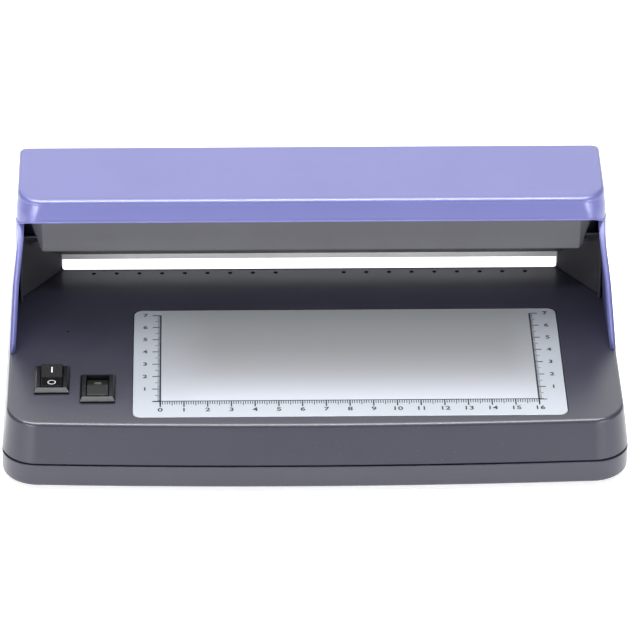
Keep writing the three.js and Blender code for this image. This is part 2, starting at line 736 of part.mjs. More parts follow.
function inletBody() {
  const w = inlet.width / 2;
  const h = inlet.height / 2;
  const nose = block(inlet.x - w, inlet.x + w, flangeY - inlet.depth + 4, inletWall - 0.4, inletZ - h, inletZ + h);
  const flange = block(
    inlet.x - inlet.flangeW / 2,
    inlet.x + inlet.flangeW / 2,
    flangeY - 1.6,
    flangeY,
    inletZ - inlet.flangeH / 2,
    inletZ + inlet.flangeH / 2,
  );
  const mouth = [-0.5, 0.5].map((k) => barY(inlet.x + k * inlet.pinPitch, inletZ, inletWall - 13, rear + 2, 3.9));
  const neck = block(
    inlet.x - inlet.pinPitch / 2,
    inlet.x + inlet.pinPitch / 2,
    inletWall - 13,
    rear + 2,
    inletZ - 2.6,
    inletZ + 2.6,
  );
  const pinWays = [-0.5, 0.5].map((k) => {
    return barY(inlet.x + k * inlet.pinPitch, inletZ, flangeY - 30, rear, inlet.pin + GAP, 12);
  });
  return cut(join(nose, flange), ...mouth, neck, ...pinWays);
}

piece("inlet_body", inletBody(), finish.black);
[-0.5, 0.5].forEach((k, i) => {
  const x = inlet.x + k * inlet.pinPitch;
  piece(`inlet_pin_${i + 1}`, barY(x, inletZ, flangeY - inlet.depth, inletWall - 5, inlet.pin, 12), finish.brass);
});

// ---- rocker switches -----------------------------------------------------------------------------
// Snap-in housing: a bevelled bezel on the deck, a body through it, a well for the rocker.
function switchHousing(s) {
  const low = deck + GAP;
  const w = rocker.bodyW / 2 + rocker.rimW;
  const l = rocker.bodyL / 2 + rocker.rimL;
  const bezelShape = outline(-w, w, -l, l, 0.4, 0.4);
  const bezel = leaning(bezelShape, low, low + rocker.bezelH, (z, x, y) => {
    const t = Math.max(0, (z - low - 0.5) / (rocker.bezelH - 0.5));
    return [x * (1 - (t * rocker.bevel * 0.6) / w), y * (1 - (t * rocker.bevel) / l)];
  });
  const body = block(
    -rocker.bodyW / 2,
    rocker.bodyW / 2,
    -rocker.bodyL / 2,
    rocker.bodyL / 2,
    deck - rocker.bodyDepth,
    low + 0.2,
  );
  const hollow = block(
    -wellW / 2,
    wellW / 2,
    -wellL / 2,
    wellL / 2,
    deck - well.depth,
    low + 5,
  );
  const pins = barX(-wellW / 2 - 1.1, wellW / 2 + 1.1, 0, keyPivot, key.pin + key.pinClear, 12);
  const slots = terminalsAt().map((y) => {
    const t = terminal.thick / 2 + GAP;
    const v = terminal.width / 2 + GAP;
    return block(-v, v, y - t, y + t, deck - rocker.bodyDepth - 1, deck - rocker.bodyDepth + 3.2);
  });
  return cut(join(bezel, body), hollow, pins, ...slots).translate([s.x, s.y, 0]);
}

function terminalsAt() {
  return [-terminal.pitch / 2, terminal.pitch / 2];
}

// Rocker: two faces that meet at the middle, a skirt, a heel, and a pin on each side.
// A negative crown makes a valley, a positive one a ridge. It rests tilted about the pins.
function rockerKey(s) {
  const rise = Math.tan((-s.crown * Math.PI) / 180) * keyHalf;
  const top = key.topDrop;
  const end = top + rise;
  const profile = [
    [-keyHalf, end - key.skirt],
    [-key.heel, -3],
    [key.heel, -3],
    [keyHalf, end - key.skirt],
    [keyHalf, end],
    [0, top],
    [-keyHalf, end],
  ];
  const bar = prismX(profile, -keyW / 2, keyW / 2);
  const pins = barX(-wellW / 2 - 0.8, wellW / 2 + 0.8, 0, 0, key.pin, 12);
  return join(bar, pins).rotate([s.tilt, 0, 0]).translate([s.x, s.y, keyPivot]);
}

function switchTerminal(s, y) {
  const t = terminal.thick / 2;
  const v = terminal.width / 2;
  const top = deck - rocker.bodyDepth + 2.9;
  const blade = block(s.x - v, s.x + v, s.y + y - t, s.y + y + t, top - terminal.length, top);
  return cut(blade, barY(s.x, top - terminal.length + 2.2, s.y + y - 3, s.y + y + 3, 0.8, 10));
}

for (const [name, s] of Object.entries({ main_switch: mainSwitch, window_switch: windowSwitch })) {
  piece(`${name}_housing`, switchHousing(s), finish.black);
  piece(`${name}_rocker`, rockerKey(s), s === mainSwitch ? finish.black : finish.smoke);
  terminalsAt().forEach((y, i) => piece(`${name}_terminal_${i + 1}`, switchTerminal(s, y), finish.brass));
}

// ---- wiring --------------------------------------------------------------------------------------
// An insulated lead along a smooth curve through its points.
function wire(points) {
  const path = new THREE.CatmullRomCurve3(points.map((p) => new THREE.Vector3(...p)));
  const ring = new THREE.Shape();
  for (let i = 0; i < lead.sides; i++) {
    const a = (2 * Math.PI * i) / lead.sides;
    ring[i ? "lineTo" : "moveTo"](lead.radius * Math.cos(a), lead.radius * Math.sin(a));
  }
  const steps = points.length * 4;
  return solid(new THREE.ExtrudeGeometry(ring, { steps, bevelEnabled: false, extrudePath: path }));
}

const tabZ = deck - rocker.bodyDepth + 2.9 - terminal.length - 2 * GAP; // under the switch terminals
const inletTail = flangeY - inlet.depth - 3 * GAP; // just behind the inlet's pins
const onBoard = boardZ + ballast.thick + GAP + lead.radius;
const low = trayFloor + 2 * lead.radius;
const [frontTab, backTab] = terminalsAt();

// inlet pin to main switch, along the left wall
piece(
  "inlet_lead",
  wire([
    [inlet.x - inlet.pinPitch / 2, inletTail, inletZ],
    [inlet.x - 9, rear - 39, inletZ - 6],
    [-halfW + 10, rear - 66, low + 2],
    [-halfW + 10, mainSwitch.y + 24, low],
    [mainSwitch.x, mainSwitch.y + backTab + 4, low],
    [mainSwitch.x, mainSwitch.y + backTab, tabZ],
  ]),
  finish.brown,
);
// inlet pin straight to the ballast board
piece(
  "neutral_lead",
  wire([
    [inlet.x + inlet.pinPitch / 2, inletTail, inletZ],
    [inlet.x + 11, rear - 30, inletZ - 4],
    [ballast.x0 - 8, ballast.y1 - 9, onBoard + 2],
    [ballast.x0 + 2, ballast.y1 - 8, onBoard + 0.2],
    [ballast.x0 + 8, ballast.y1 - 8, onBoard + 0.2],
  ]),
  finish.blue,
);
// main switch to ballast board
piece(
  "ballast_lead",
  wire([
    [mainSwitch.x, mainSwitch.y + frontTab, tabZ],
    [mainSwitch.x, mainSwitch.y + frontTab, tabZ - 1.5],
    [mainSwitch.x + 7, mainSwitch.y + frontTab + 3, low + 2],
    [mainSwitch.x + 16, mainSwitch.y + 28, low],
    [ballast.x0 - 22, ballast.y0 - 8, low + 1],
    [ballast.x0 - 4, ballast.y0 + 12, onBoard],
    [ballast.x0 + 6, ballast.y0 + 14, onBoard],
  ]),
  finish.black,
);
// window switch to LED driver board, under the light box
piece(
  "window_lead",
  wire([
    [windowSwitch.x, windowSwitch.y + backTab, tabZ],
    [windowSwitch.x, windowSwitch.y + backTab, tabZ - 1.5],
    [windowSwitch.x + 6, windowSwitch.y + backTab + 5, low],
    [ballast.x0 + 20, ballast.y0 - 26, low + 0.5],
    [driver.x0 - 12, driver.y0 - 8, low + 1],
    [driver.x0 - 4, driver.y0 + 3, onBoard + 1],
    [driver.x0 + 4, driver.y0 + 6, onBoard + 0.2],
    [driver.x0 + 10, driver.y0 + 6, onBoard + 0.2],
  ]),
  finish.black,
);
// ballast board to the lamp holders, up through the deck on each side
for (const side of [-1, 1]) {
  const x = side * leadHole.x;
  const start = side < 0 ? ballast.x0 + 7 : ballast.x1 - 3;
  const y = side < 0 ? rear - 28.6 : rear - 18.4;
  piece(
    `lamp_lead_${side < 0 ? "left" : "right"}`,
    wire([
      [start, side < 0 ? y : y - 0.5, onBoard],
      [start + side * 12, y, onBoard],
      [side * 84, y, low + 2],
      [x - side * 11, y, low + 4.5],
      [x, leadHole.y, deckUnder - 8],
      [x, leadHole.y, deck + 3],
      [x, leadHole.y - 3, deck + 20],
      [side * (lamp.length / 2 + holder.length + bracket.thick + 3 * GAP + lead.radius), topLamp.y + 5, topLamp.z],
    ]),
    finish.white,
  );
}

export default parts;
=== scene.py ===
import json

import bmesh
import bpy
import numpy as np
from mathutils import Matrix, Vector
from mathutils.geometry import delaunay_2d_cdt


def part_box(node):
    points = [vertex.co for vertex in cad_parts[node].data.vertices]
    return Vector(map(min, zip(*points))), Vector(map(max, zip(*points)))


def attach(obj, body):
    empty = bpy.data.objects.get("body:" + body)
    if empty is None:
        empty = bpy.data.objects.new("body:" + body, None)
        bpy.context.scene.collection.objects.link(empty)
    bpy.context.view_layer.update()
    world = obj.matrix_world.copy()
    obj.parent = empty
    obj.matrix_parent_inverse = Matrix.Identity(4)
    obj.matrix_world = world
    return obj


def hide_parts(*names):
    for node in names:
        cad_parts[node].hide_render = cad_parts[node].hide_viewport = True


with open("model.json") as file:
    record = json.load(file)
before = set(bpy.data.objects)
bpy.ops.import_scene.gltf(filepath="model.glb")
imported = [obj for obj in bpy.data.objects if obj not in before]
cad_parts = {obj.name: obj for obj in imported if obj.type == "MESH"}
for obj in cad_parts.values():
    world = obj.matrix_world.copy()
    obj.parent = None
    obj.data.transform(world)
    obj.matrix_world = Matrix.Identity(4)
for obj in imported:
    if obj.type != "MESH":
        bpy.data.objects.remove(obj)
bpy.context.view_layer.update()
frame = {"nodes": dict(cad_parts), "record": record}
nodes = frame["nodes"]


# ---- Camera ------------------------------------------------------------------------------------
# A long lens from a little above and nearly square to the counter edge, so that edges that run
# back keep almost parallel.
eye = bpy.data.objects.new("eye", bpy.data.cameras.new("eye"))
eye.data.lens = 275.1
eye.data.sensor_width = 36.0
eye.data.clip_end = 50.0
eye.location = (-0.04766, -1.77205, 1.11497)
eye.rotation_euler = np.radians((58.7713, -0.3844, -1.3425))
bpy.context.collection.objects.link(eye)
bpy.context.scene.camera = eye
bpy.context.scene.view_settings.view_transform = "Standard"


# ---- Base tray ---------------------------------------------------------------------------------
# Lower half of the casing, moulded in dark blue-grey ABS with a fine spark texture. Its rim butts
# against the top shell with a shadow gap, and four screws from below hold the two halves.
MM = 0.001


def level(name, side, axis):
    """Lowest (0) or highest (1) coordinate of a CAD node along an axis, in millimetres."""
    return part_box(name)[side]["xyz".index(axis)] / MM


def outline(half, front, rear, r_front, r_rear, bow=0.0, marks=(), arc=14):
    """Closed rounded rectangle seen from above, counter-clockwise: front edge, arc, right side, arc,
    rear edge, arc, left side, arc. The front edge falls back as the square of x. The front and rear
    edges have points at fixed x, the marks among them, so that loops of any size match."""
    turn = np.linspace(0, np.pi / 2, arc, endpoint=False)
    fixed = np.sort(np.concatenate([np.linspace(-100, 100, 21), marks]))
    side = np.linspace(0, 1, 24, endpoint=False) * (rear - r_rear - front - r_front) + front + r_front
    back = np.linspace(0, 1, 24, endpoint=False) * (front + r_front - rear + r_rear) + rear - r_rear
    wide, deep = half - r_front, half - r_rear

    def corner(cx, cy, r, start):
        """A quarter circle about a corner's centre, from a start angle."""
        return np.stack([cx + r * np.cos(start + turn), cy + r * np.sin(start + turn)], 1)

    def edge(y, xs):
        """Points at fixed x along a straight front or rear edge."""
        return np.stack([xs, np.full_like(xs, y)], 1)

    loop = np.concatenate([
        edge(front, np.append(-wide, fixed)),
        corner(wide, front + r_front, r_front, -np.pi / 2),
        np.stack([np.full_like(side, half), side], 1),
        corner(deep, rear - r_rear, r_rear, 0.0),
        edge(rear, np.append(deep, fixed[::-1])),
        corner(-deep, rear - r_rear, r_rear, np.pi / 2),
        np.stack([np.full_like(back, -half), back], 1),
        corner(-wide, front + r_front, r_front, np.pi),
    ])
    if bow:
        loop[:, 1] += bow * (loop[:, 0] / wide) ** 2 * (rear - loop[:, 1]) / (rear - front)
    return loop


def circle(x, y, r, sides=20):
    """Points on a circle in plan, counter-clockwise."""
    a = np.arange(sides) * 2 * np.pi / sides
    return np.stack([x + r * np.cos(a), y + r * np.sin(a)], 1)


def box_loop(x0, x1, y0, y1):
    """The four corners of an upright hole in plan, counter-clockwise."""
    return np.array([[x0, y0], [x1, y0], [x1, y1], [x0, y1]], float)


def at_height(loop, z):
    """A plan loop lifted to a height, or to one height for each point."""
    return np.column_stack([loop, np.broadcast_to(z, len(loop))])


def skin(rows, drop=None):
    """Quads between neighbouring closed loops, rows (m, n, 3), facing outwards where the loops run
    counter-clockwise and climb. drop(centres) says which quads to leave out, as for a hole."""
    rows = np.asarray(rows, float)
    m, n = rows.shape[:2]
    i = np.arange(m - 1)[:, None] * n
    j = np.arange(n)[None, :]
    k = (j + 1) % n
    quads = np.stack([i + j, i + k, i + n + k, i + n + j], -1).reshape(-1, 4)
    points = rows.reshape(-1, 3)
    if drop is not None:
        quads = quads[~drop(points[quads].mean(1))]
    return points, quads


def inside(loop, points):
    """Even-odd test: whether each plan point lies inside a closed loop."""
    a, b = loop, np.roll(loop, -1, 0)
    x, y = points[:, :1], points[:, 1:2]
    crosses = (a[:, 1] > y) != (b[:, 1] > y)
    rise = np.where(b[:, 1] == a[:, 1], 1e-9, b[:, 1] - a[:, 1])
    at = a[:, 0] + (y - a[:, 1]) * (b[:, 0] - a[:, 0]) / rise
    return (crosses & (x < at)).sum(1) % 2 == 1


def plate(loops, z, up=True):
    """Flat face at height z inside the first loop and outside the others: a Delaunay triangulation
    with the loops as its fixed edges, kept where a triangle's centre is on the material."""
    flat = np.concatenate(loops)
    edges, start = [], 0
    for loop in loops:
        n = np.arange(len(loop))
        edges += np.stack([start + n, start + (n + 1) % len(loop)], 1).tolist()
        start += len(loop)
    co, _, tris, *_ = delaunay_2d_cdt([tuple(p) for p in flat.tolist()], edges, [], 0, 1e-7)
    co, tris = np.array([tuple(p) for p in co]), np.array([list(t) for t in tris])
    centre = co[tris].mean(1)
    keep = inside(loops[0], centre)
    for hole in loops[1:]:
        keep &= ~inside(hole, centre)
    tris = tris[keep]
    heights = z(co) if callable(z) else z
    return at_height(co, heights), tris if up else tris[:, ::-1]


def piece(name, patches, body, stands_for, material, smooth=35.0, recalc=True):
    """One object from patches of (points in mm, faces): welded, turned outwards, smooth but for
    edges sharper than an angle, riding on a CAD body in place of the nodes it stands for."""
    points, faces, start = [], [], 0
    for p, f in patches:
        points.append(np.asarray(p, float))
        faces += (np.asarray(f) + start).tolist()
        start += len(p)
    mesh = bpy.data.meshes.new(name)
    mesh.from_pydata((np.concatenate(points) * MM).tolist(), [], faces)
    bm = bmesh.new()
    bm.from_mesh(mesh)
    bmesh.ops.remove_doubles(bm, verts=bm.verts, dist=4e-6)
    if recalc:
        bmesh.ops.recalc_face_normals(bm, faces=bm.faces)
    bm.to_mesh(mesh)
    bm.free()
    mesh.polygons.foreach_set("use_smooth", np.ones(len(mesh.polygons), bool))
    mesh.set_sharp_from_angle(angle=np.radians(smooth))
    mesh.materials.append(material)
    made = bpy.data.objects.new(name, mesh)
    bpy.context.collection.objects.link(made)
    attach(made, body)
    if stands_for:
        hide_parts(*stands_for)
    return made


def surface_group():
    """Shader group for moulded and painted surfaces, from layered noise on Object coordinates: a
    fine Grain height, a slow Mottle for the colour, a Smudge where hands have been, Dust specks."""
    g = bpy.data.node_groups.new("handled_surface", "ShaderNodeTree")
    pitch = g.interface.new_socket("Grain per metre", in_out="INPUT", socket_type="NodeSocketFloat")
    pitch.default_value = 2600.0
    for out in ("Grain", "Mottle", "Smudge", "Dust"):
        g.interface.new_socket(out, in_out="OUTPUT", socket_type="NodeSocketFloat")
    new, link = g.nodes.new, g.links.new
    start, end, where = new("NodeGroupInput"), new("NodeGroupOutput"), new("ShaderNodeTexCoord")

    def noise(scale, detail, rough, low, high, distort=0.0):
        """Layered noise, its band from low to high spread over 0 to 1."""
        n, r = new("ShaderNodeTexNoise"), new("ShaderNodeMapRange")
        n.inputs["Detail"].default_value, n.inputs["Roughness"].default_value = detail, rough
        n.inputs["Distortion"].default_value = distort
        if scale:
            n.inputs["Scale"].default_value = scale
        r.inputs["From Min"].default_value, r.inputs["From Max"].default_value = low, high
        link(where.outputs["Object"], n.inputs["Vector"])
        link(n.outputs["Fac"], r.inputs["Value"])
        return n, r

    fine, grain = noise(0, 2.0, 0.6, 0.3, 0.7)
    link(start.outputs[0], fine.inputs["Scale"])
    link(grain.outputs[0], end.inputs["Grain"])
    link(noise(22.0, 5.0, 0.62, 0.3, 0.72)[1].outputs[0], end.inputs["Mottle"])
    link(noise(38.0, 4.0, 0.5, 0.15, 0.85, 0.3)[1].outputs[0], end.inputs["Smudge"])
    link(noise(900.0, 3.0, 0.8, 0.68, 0.76)[1].outputs[0], end.inputs["Dust"])
    return g


handled = surface_group()


def moulded(name, light, dark, rough, grain=0.06, pitch=2600.0, smudge=0.12, dust=0.25, **fixed):
    """Material of a moulded or painted surface: two close tones that mottle into each other, dust
    specks, smudges in the roughness and a fine grain in the bump. fixed sets Principled sockets."""
    m = bpy.data.materials.new(name)
    m.use_nodes = True
    new, link = m.node_tree.nodes.new, m.node_tree.links.new
    shader = m.node_tree.nodes["Principled BSDF"]
    for key, value in fixed.items():
        shader.inputs[key.replace("_", " ")].default_value = value
    g = new("ShaderNodeGroup")
    g.node_tree = handled
    g.inputs[0].default_value = pitch
    tone, specks = new("ShaderNodeMix"), new("ShaderNodeMix")
    tone.data_type = specks.data_type = "RGBA"
    tone.inputs[6].default_value, tone.inputs[7].default_value = (*dark, 1), (*light, 1)
    link(g.outputs["Mottle"], tone.inputs[0])
    share = new("ShaderNodeMath")
    share.operation = "MULTIPLY"
    share.inputs[1].default_value = dust
    link(g.outputs["Dust"], share.inputs[0])
    link(share.outputs[0], specks.inputs[0])
    link(tone.outputs[2], specks.inputs[6])
    specks.inputs[7].default_value = (0.55, 0.55, 0.56, 1)
    link(specks.outputs[2], shader.inputs["Base Color"])
    shine = new("ShaderNodeMapRange")
    shine.inputs["To Min"].default_value = rough + smudge / 2
    shine.inputs["To Max"].default_value = rough - smudge / 2
    link(g.outputs["Smudge"], shine.inputs["Value"])
    link(shine.outputs[0], shader.inputs["Roughness"])
    bump = new("ShaderNodeBump")
    bump.inputs["Strength"].default_value = grain
    bump.inputs["Distance"].default_value = 0.0002
    link(g.outputs["Grain"], bump.inputs["Height"])
    link(bump.outputs[0], shader.inputs["Normal"])
    return m


casing = moulded(
    "casing_abs", (0.029, 0.029, 0.050), (0.026, 0.0255, 0.0445), 0.34, grain=0.03,
    Coat_Weight=0.35, Coat_Roughness=0.2,
)

half_width = level("top_shell", 1, "x")
front, rear = level("top_shell", 0, "y"), level("top_shell", 1, "y")
tray_low, tray_high = level("base_tray", 0, "z"), level("base_tray", 1, "z")
casing_wall = 2.2
front_corner, rear_corner, front_bow = 15, 9, 2.6
tray_floor = tray_low + casing_wall


def base_loop(inset, marks=()):
    """The casing's outline, drawn in by an inset, its corner radii with it."""
    return outline(
        half_width - inset, front + inset, rear - inset, front_corner - inset, rear_corner - inset,
        front_bow, marks)


foot_edge, quarter = 1.6, np.linspace(0, np.pi / 2, 9)
tray_rows = [at_height(base_loop(4.0), tray_low)]
tray_rows += [
    at_height(base_loop(foot_edge * (1 - np.sin(a))), tray_low + foot_edge * (1 - np.cos(a))) for a in quarter
]
tray_rows += [at_height(base_loop(0.0), tray_high - 0.6), at_height(base_loop(0.3), tray_high - 0.3)]
tray_rows += [at_height(base_loop(casing_wall), z) for z in (tray_high - 0.3, tray_floor + 1.0)]
tray_rows += [at_height(base_loop(3.2), tray_floor)]

screw_boxes = [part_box(f"case_screw_{i}") for i in (1, 2, 3, 4)]
screw_spots = [(lo + hi) / 2 / MM for lo, hi in screw_boxes]
sink_deep, boss_high = 3, 5
sinks = [circle(s.x, s.y, 3.4) for s in screw_spots]
pads = [circle(s.x, s.y, 4.6) for s in screw_spots]
tray_slots = [
    box_loop(side * (34 + 7 * i) - 1.2, side * (34 + 7 * i) + 1.2, rear - 50, rear - 20)
    for side in (-1, 1)
    for i in range(7)
]
tray = [skin(tray_rows)]
tray += [plate([base_loop(4.0), *sinks, *tray_slots], tray_low, up=False)]
tray += [plate([base_loop(3.2), *pads, *tray_slots], tray_floor)]
tray += [skin([at_height(s, tray_low), at_height(s, tray_floor)]) for s in tray_slots]
for sink, pad in zip(sinks, pads):
    tray += [skin([at_height(sink, tray_low), at_height(sink, tray_low + sink_deep)])]
    tray += [plate([sink], tray_low + sink_deep, up=False)]
    tray += [skin([at_height(pad, tray_floor), at_height(pad, tray_floor + boss_high)])]
    tray += [plate([pad], tray_floor + boss_high)]


def soften(made, width=0.0, segments=3, angle=40.0):
    """Rounds the piece's sharp edges with a live bevel, then lets big faces keep their own normal."""
    if width:
        bevel = made.modifiers.new("rounded_edges", "BEVEL")
        bevel.width, bevel.segments, bevel.limit_method = width * MM, segments, "ANGLE"
        bevel.angle_limit = np.radians(angle)
        bevel.use_clamp_overlap = True
    even = made.modifiers.new("flat_faces_stay_flat", "WEIGHTED_NORMAL")
    even.mode, even.weight, even.keep_sharp = "FACE_AREA", 60, True


soften(piece("casing_tray", tray, "unit", ["base_tray"], casing))


# ---- Rubber feet and case screws -----------------------------------------------------------------
# Push-in feet of black rubber, and zinc-plated cross-head screws sunk into the tray.
rubber = moulded(
    "foot_rubber", (0.030, 0.030, 0.032), (0.020, 0.020, 0.022), 0.78, grain=0.25, pitch=1500.0, dust=0.5)
steel = moulded(
    "zinc_plate", (0.60, 0.61, 0.62), (0.48, 0.49, 0.50), 0.34, grain=0.05, pitch=5200.0, dust=0.1,
    Metallic=1.0)


def turned(profile, x, y, sides=40):
    """Solid of revolution about an upright axis: each (radius, height) of the profile becomes a
    ring, and the end rings close on themselves."""
    rings = [at_height(circle(x, y, max(r, 1e-4), sides), z) for r, z in profile]
    base = plate([rings[0][:, :2]], profile[0][1], up=False)
    return [skin(rings), base, plate([rings[-1][:, :2]], profile[-1][1])]


for i in (1, 2, 3, 4):
    lo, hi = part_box(f"rubber_foot_{i}")
    x, y = (lo.x + hi.x) / 2 / MM, (lo.y + hi.y) / 2 / MM
    a = np.linspace(0, np.pi / 2, 5)
    profile = [(3.6, 0.25), (3.8, 0.0), *zip(5.2 + 0.8 * np.sin(a), 0.8 - 0.8 * np.cos(a))]
    profile += [*zip(5.6 + 0.4 * np.cos(a), 2.1 + 0.4 * np.sin(a))]
    profile += [(2.0, 2.5), (2.0, 5.3), (2.7, 5.3), (1.2, 7.7)]
    soften(piece(f"foot_{i}", turned(profile, x, y), "unit", [f"rubber_foot_{i}"], rubber))
for i in (1, 2, 3, 4):
    for kind in ("case", "hood"):
        nodes[f"{kind}_screw_{i}"].data.materials.clear()
        nodes[f"{kind}_screw_{i}"].data.materials.append(steel)


# ---- Inside and rear: lamps, boards, leads, inlet ------------------------------------------------
# Pieces that show only through the louvres, the slots and the inlet. Each keeps its CAD mesh and
# takes the finish of its own trade: glass, aluminium, green board, ferrite, sleeve, brass.
inside_finishes = {
    "white_plastic": moulded("white_box", (0.80, 0.80, 0.78), (0.72, 0.72, 0.70), 0.45),
    "led_board": moulded("white_board", (0.80, 0.82, 0.80), (0.70, 0.72, 0.70), 0.35),
    "reflector": moulded("bright_sheet", (0.80, 0.81, 0.82), (0.70, 0.71, 0.72), 0.22, Metallic=1.0),
    "inlet": moulded("inlet_black", (0.020, 0.020, 0.021), (0.012, 0.012, 0.013), 0.35, grain=0.08),
    "lamp_glass": moulded("phosphor_glass", (0.90, 0.91, 0.95), (0.84, 0.85, 0.90), 0.12, grain=0.01),
    "lamp_cap": moulded("tube_cap", (0.72, 0.73, 0.74), (0.60, 0.61, 0.62), 0.30, Metallic=1.0),
    "lamp_holder": moulded("holder_white", (0.80, 0.80, 0.77), (0.70, 0.70, 0.67), 0.5),
    "circuit_board": moulded("green_board", (0.030, 0.150, 0.050), (0.020, 0.100, 0.035), 0.35, pitch=900.0),
    "ferrite": moulded("ferrite_core", (0.060, 0.060, 0.065), (0.040, 0.040, 0.045), 0.65, grain=0.3),
    "capacitor": moulded("can_sleeve", (0.025, 0.050, 0.200), (0.018, 0.038, 0.160), 0.35),
    "brass": moulded("tinned_brass", (0.70, 0.55, 0.25), (0.58, 0.44, 0.18), 0.30, Metallic=1.0),
    "lead_brown": moulded("brown_lead", (0.160, 0.050, 0.020), (0.120, 0.036, 0.014), 0.45),
    "lead_blue": moulded("blue_lead", (0.030, 0.120, 0.400), (0.022, 0.095, 0.320), 0.45),
    "lead_black": moulded("black_lead", (0.020, 0.020, 0.021), (0.012, 0.012, 0.013), 0.45),
    "lead_white": moulded("white_lead", (0.78, 0.78, 0.76), (0.68, 0.68, 0.66), 0.45),
}
for part in frame["record"]["subparts"]:
    if part["material_slot"] in inside_finishes:
        kept = nodes[part["node"]].data.materials
        kept.clear()
        kept.append(inside_finishes[part["material_slot"]])


# ---- Top shell ---------------------------------------------------------------------------------
# Upper half of the casing, the same ABS: leaning walls, a rounded deck edge in front of the arms,
# openings for the window, the switches, the vents, the sensor and the mains inlet.
deck = level("document_window", 1, "z")
shell_low = tray_high + 0.45
under = deck - casing_wall
foot_y = level("hood_cover", 0, "y")


def lean_in(loop, z):
    """Moves a plan loop with the walls' draft at height z: sides, front and rear each their own."""
    t = (z - 13.5) / (deck - 13.5)
    x, y = loop[:, 0], loop[:, 1]
    x = x * (1 - t * 2.2 / half_width * np.abs(x / half_width) ** 6)
    y = y + t * np.where(y < 0, 5.2 * y / front, -1.5 * y / rear)
    return at_height(np.column_stack([x, y]), z)


inlet_lo, inlet_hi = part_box("inlet_body")
inlet_x, inlet_z = (inlet_lo.x + inlet_hi.x) / 2 / MM, (inlet_lo.z + inlet_hi.z) / 2 / MM
inlet_marks = (inlet_x - 10.3, inlet_x + 10.3)


def shell_row(inset, z):
    """The wall's outline at a height, drawn in by an inset and leaning with the draft."""
    return lean_in(base_loop(inset, inlet_marks), z)


round_edge, square_edge = 1.5, 0.4


def edge_radius(loop):
    """Radius of the deck's edge: rounded in front of the arms, nearly square under them, with
    3t^2 - 2t^3 easing between."""
    share = np.clip((loop[:, 1] - (foot_y - 3.0)) / 2.6, 0, 1)
    return round_edge - (round_edge - square_edge) * share * share * (3 - 2 * share)


plan = base_loop(0.0, inlet_marks)
radius = edge_radius(plan)[:, None]
wide, tight = shell_row(0.0, deck), shell_row(4.0, deck)
inward = (tight - wide)[:, :2] / 4.0
outer = [shell_row(0.3, shell_low), shell_row(0.0, shell_low + 0.3)]
outer += [shell_row(0.0, inlet_z - 5.3), shell_row(0.0, inlet_z + 5.3)]
shoulder = shell_row(0.0, deck - round_edge)
for a in np.linspace(0, np.pi / 2, 9):
    ring = shoulder.copy()
    ring[:, 2] = deck - (radius * (1 - np.sin(a)))[:, 0]
    climb = ((ring[:, 2] - shoulder[:, 2]) / round_edge)[:, None]
    ring[:, :2] = shoulder[:, :2] * (1 - climb) + wide[:, :2] * climb + inward * radius * (1 - np.cos(a))
    outer.append(ring)
deck_edge = outer[-1][:, :2]
inner_rows = [shell_row(casing_wall, z) for z in (shell_low, inlet_z - 5.3, inlet_z + 5.3, under)]


def in_inlet(c):
    """Whether a wall face lies in the mains inlet's opening."""
    return (np.abs(c[:, 0] - inlet_x) < 10.2) & (np.abs(c[:, 2] - inlet_z) < 5.2) & (c[:, 1] > rear - 8)


def rounded_box(x0, x1, y0, y1, r, arc=8):
    """Closed rounded rectangle in plan with one radius, counter-clockwise."""
    a = np.linspace(0, np.pi / 2, arc + 1)
    corners = (
        (x1 - r, y0 + r, -np.pi / 2), (x1 - r, y1 - r, 0), (x0 + r, y1 - r, np.pi / 2), (x0 + r, y0 + r, np.pi))
    return np.concatenate([
        np.stack([cx + r * np.cos(start + a), cy + r * np.sin(start + a)], 1) for cx, cy, start in corners
    ])


win_lo, win_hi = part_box("document_window")
win = [win_lo.x / MM, win_hi.x / MM, win_lo.y / MM, win_hi.y / MM]


def window_loop(grow, r=3.8):
    """The document window's outline in plan, let out by a margin with its corners."""
    return rounded_box(win[0] - grow, win[1] + grow, win[2] - grow, win[3] + grow, max(r + grow, 1.0))


throat_y = level("slot_diffuser", 0, "y") - 0.3
vents = [circle(s * (15 + 10 * i), throat_y - 2.7, 1.0, 14) for s in (-1, 1) for i in range(9)]
sensor = circle(-half_width + 26.8, front + 81.1, 0.62, 14)
switch_spots = {}
for name in ("main_switch", "window_switch"):
    lo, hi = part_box(f"{name}_housing")
    switch_spots[name] = ((lo.x + hi.x) / 2 / MM, (lo.y + hi.y) / 2 / MM)
switch_holes = [box_loop(x - 6.8, x + 6.8, y - 9.9, y + 9.9) for x, y in switch_spots.values()]
small = [*vents, sensor, *switch_holes]
ledge = deck - 2.3
shell = [skin(outer, in_inlet)]
shell += [plate([deck_edge, window_loop(0.3), *small], deck)]
shell += [skin([at_height(h, deck), at_height(h, under)]) for h in small]
window_steps = ((0.3, deck), (0.3, ledge), (-3, ledge), (-3, ledge - 2), (2.5, ledge - 2), (2.5, under))
shell += [skin([at_height(window_loop(grow), z) for grow, z in window_steps])]
shell += [plate([inner_rows[-1][:, :2], window_loop(2.5), *small], under, up=False)]
inner_points, inner_quads = skin(inner_rows, in_inlet)
shell += [(inner_points, inner_quads[:, ::-1]), skin([inner_rows[0], outer[0]])]
hole = np.flatnonzero((plan[:, 1] > rear - 1) & (np.abs(plan[:, 0] - inlet_x) < 10.35))
path = np.concatenate([hole, hole[::-1]])
high = np.repeat([0, 1], len(hole))
shell += [skin([
    np.where(high[:, None] == 0, outer[2][path], outer[3][path]),
    np.where(high[:, None] == 0, inner_rows[1][path], inner_rows[2][path]),
])]
soften(piece("casing_top", shell, "unit", ["top_shell"], casing))
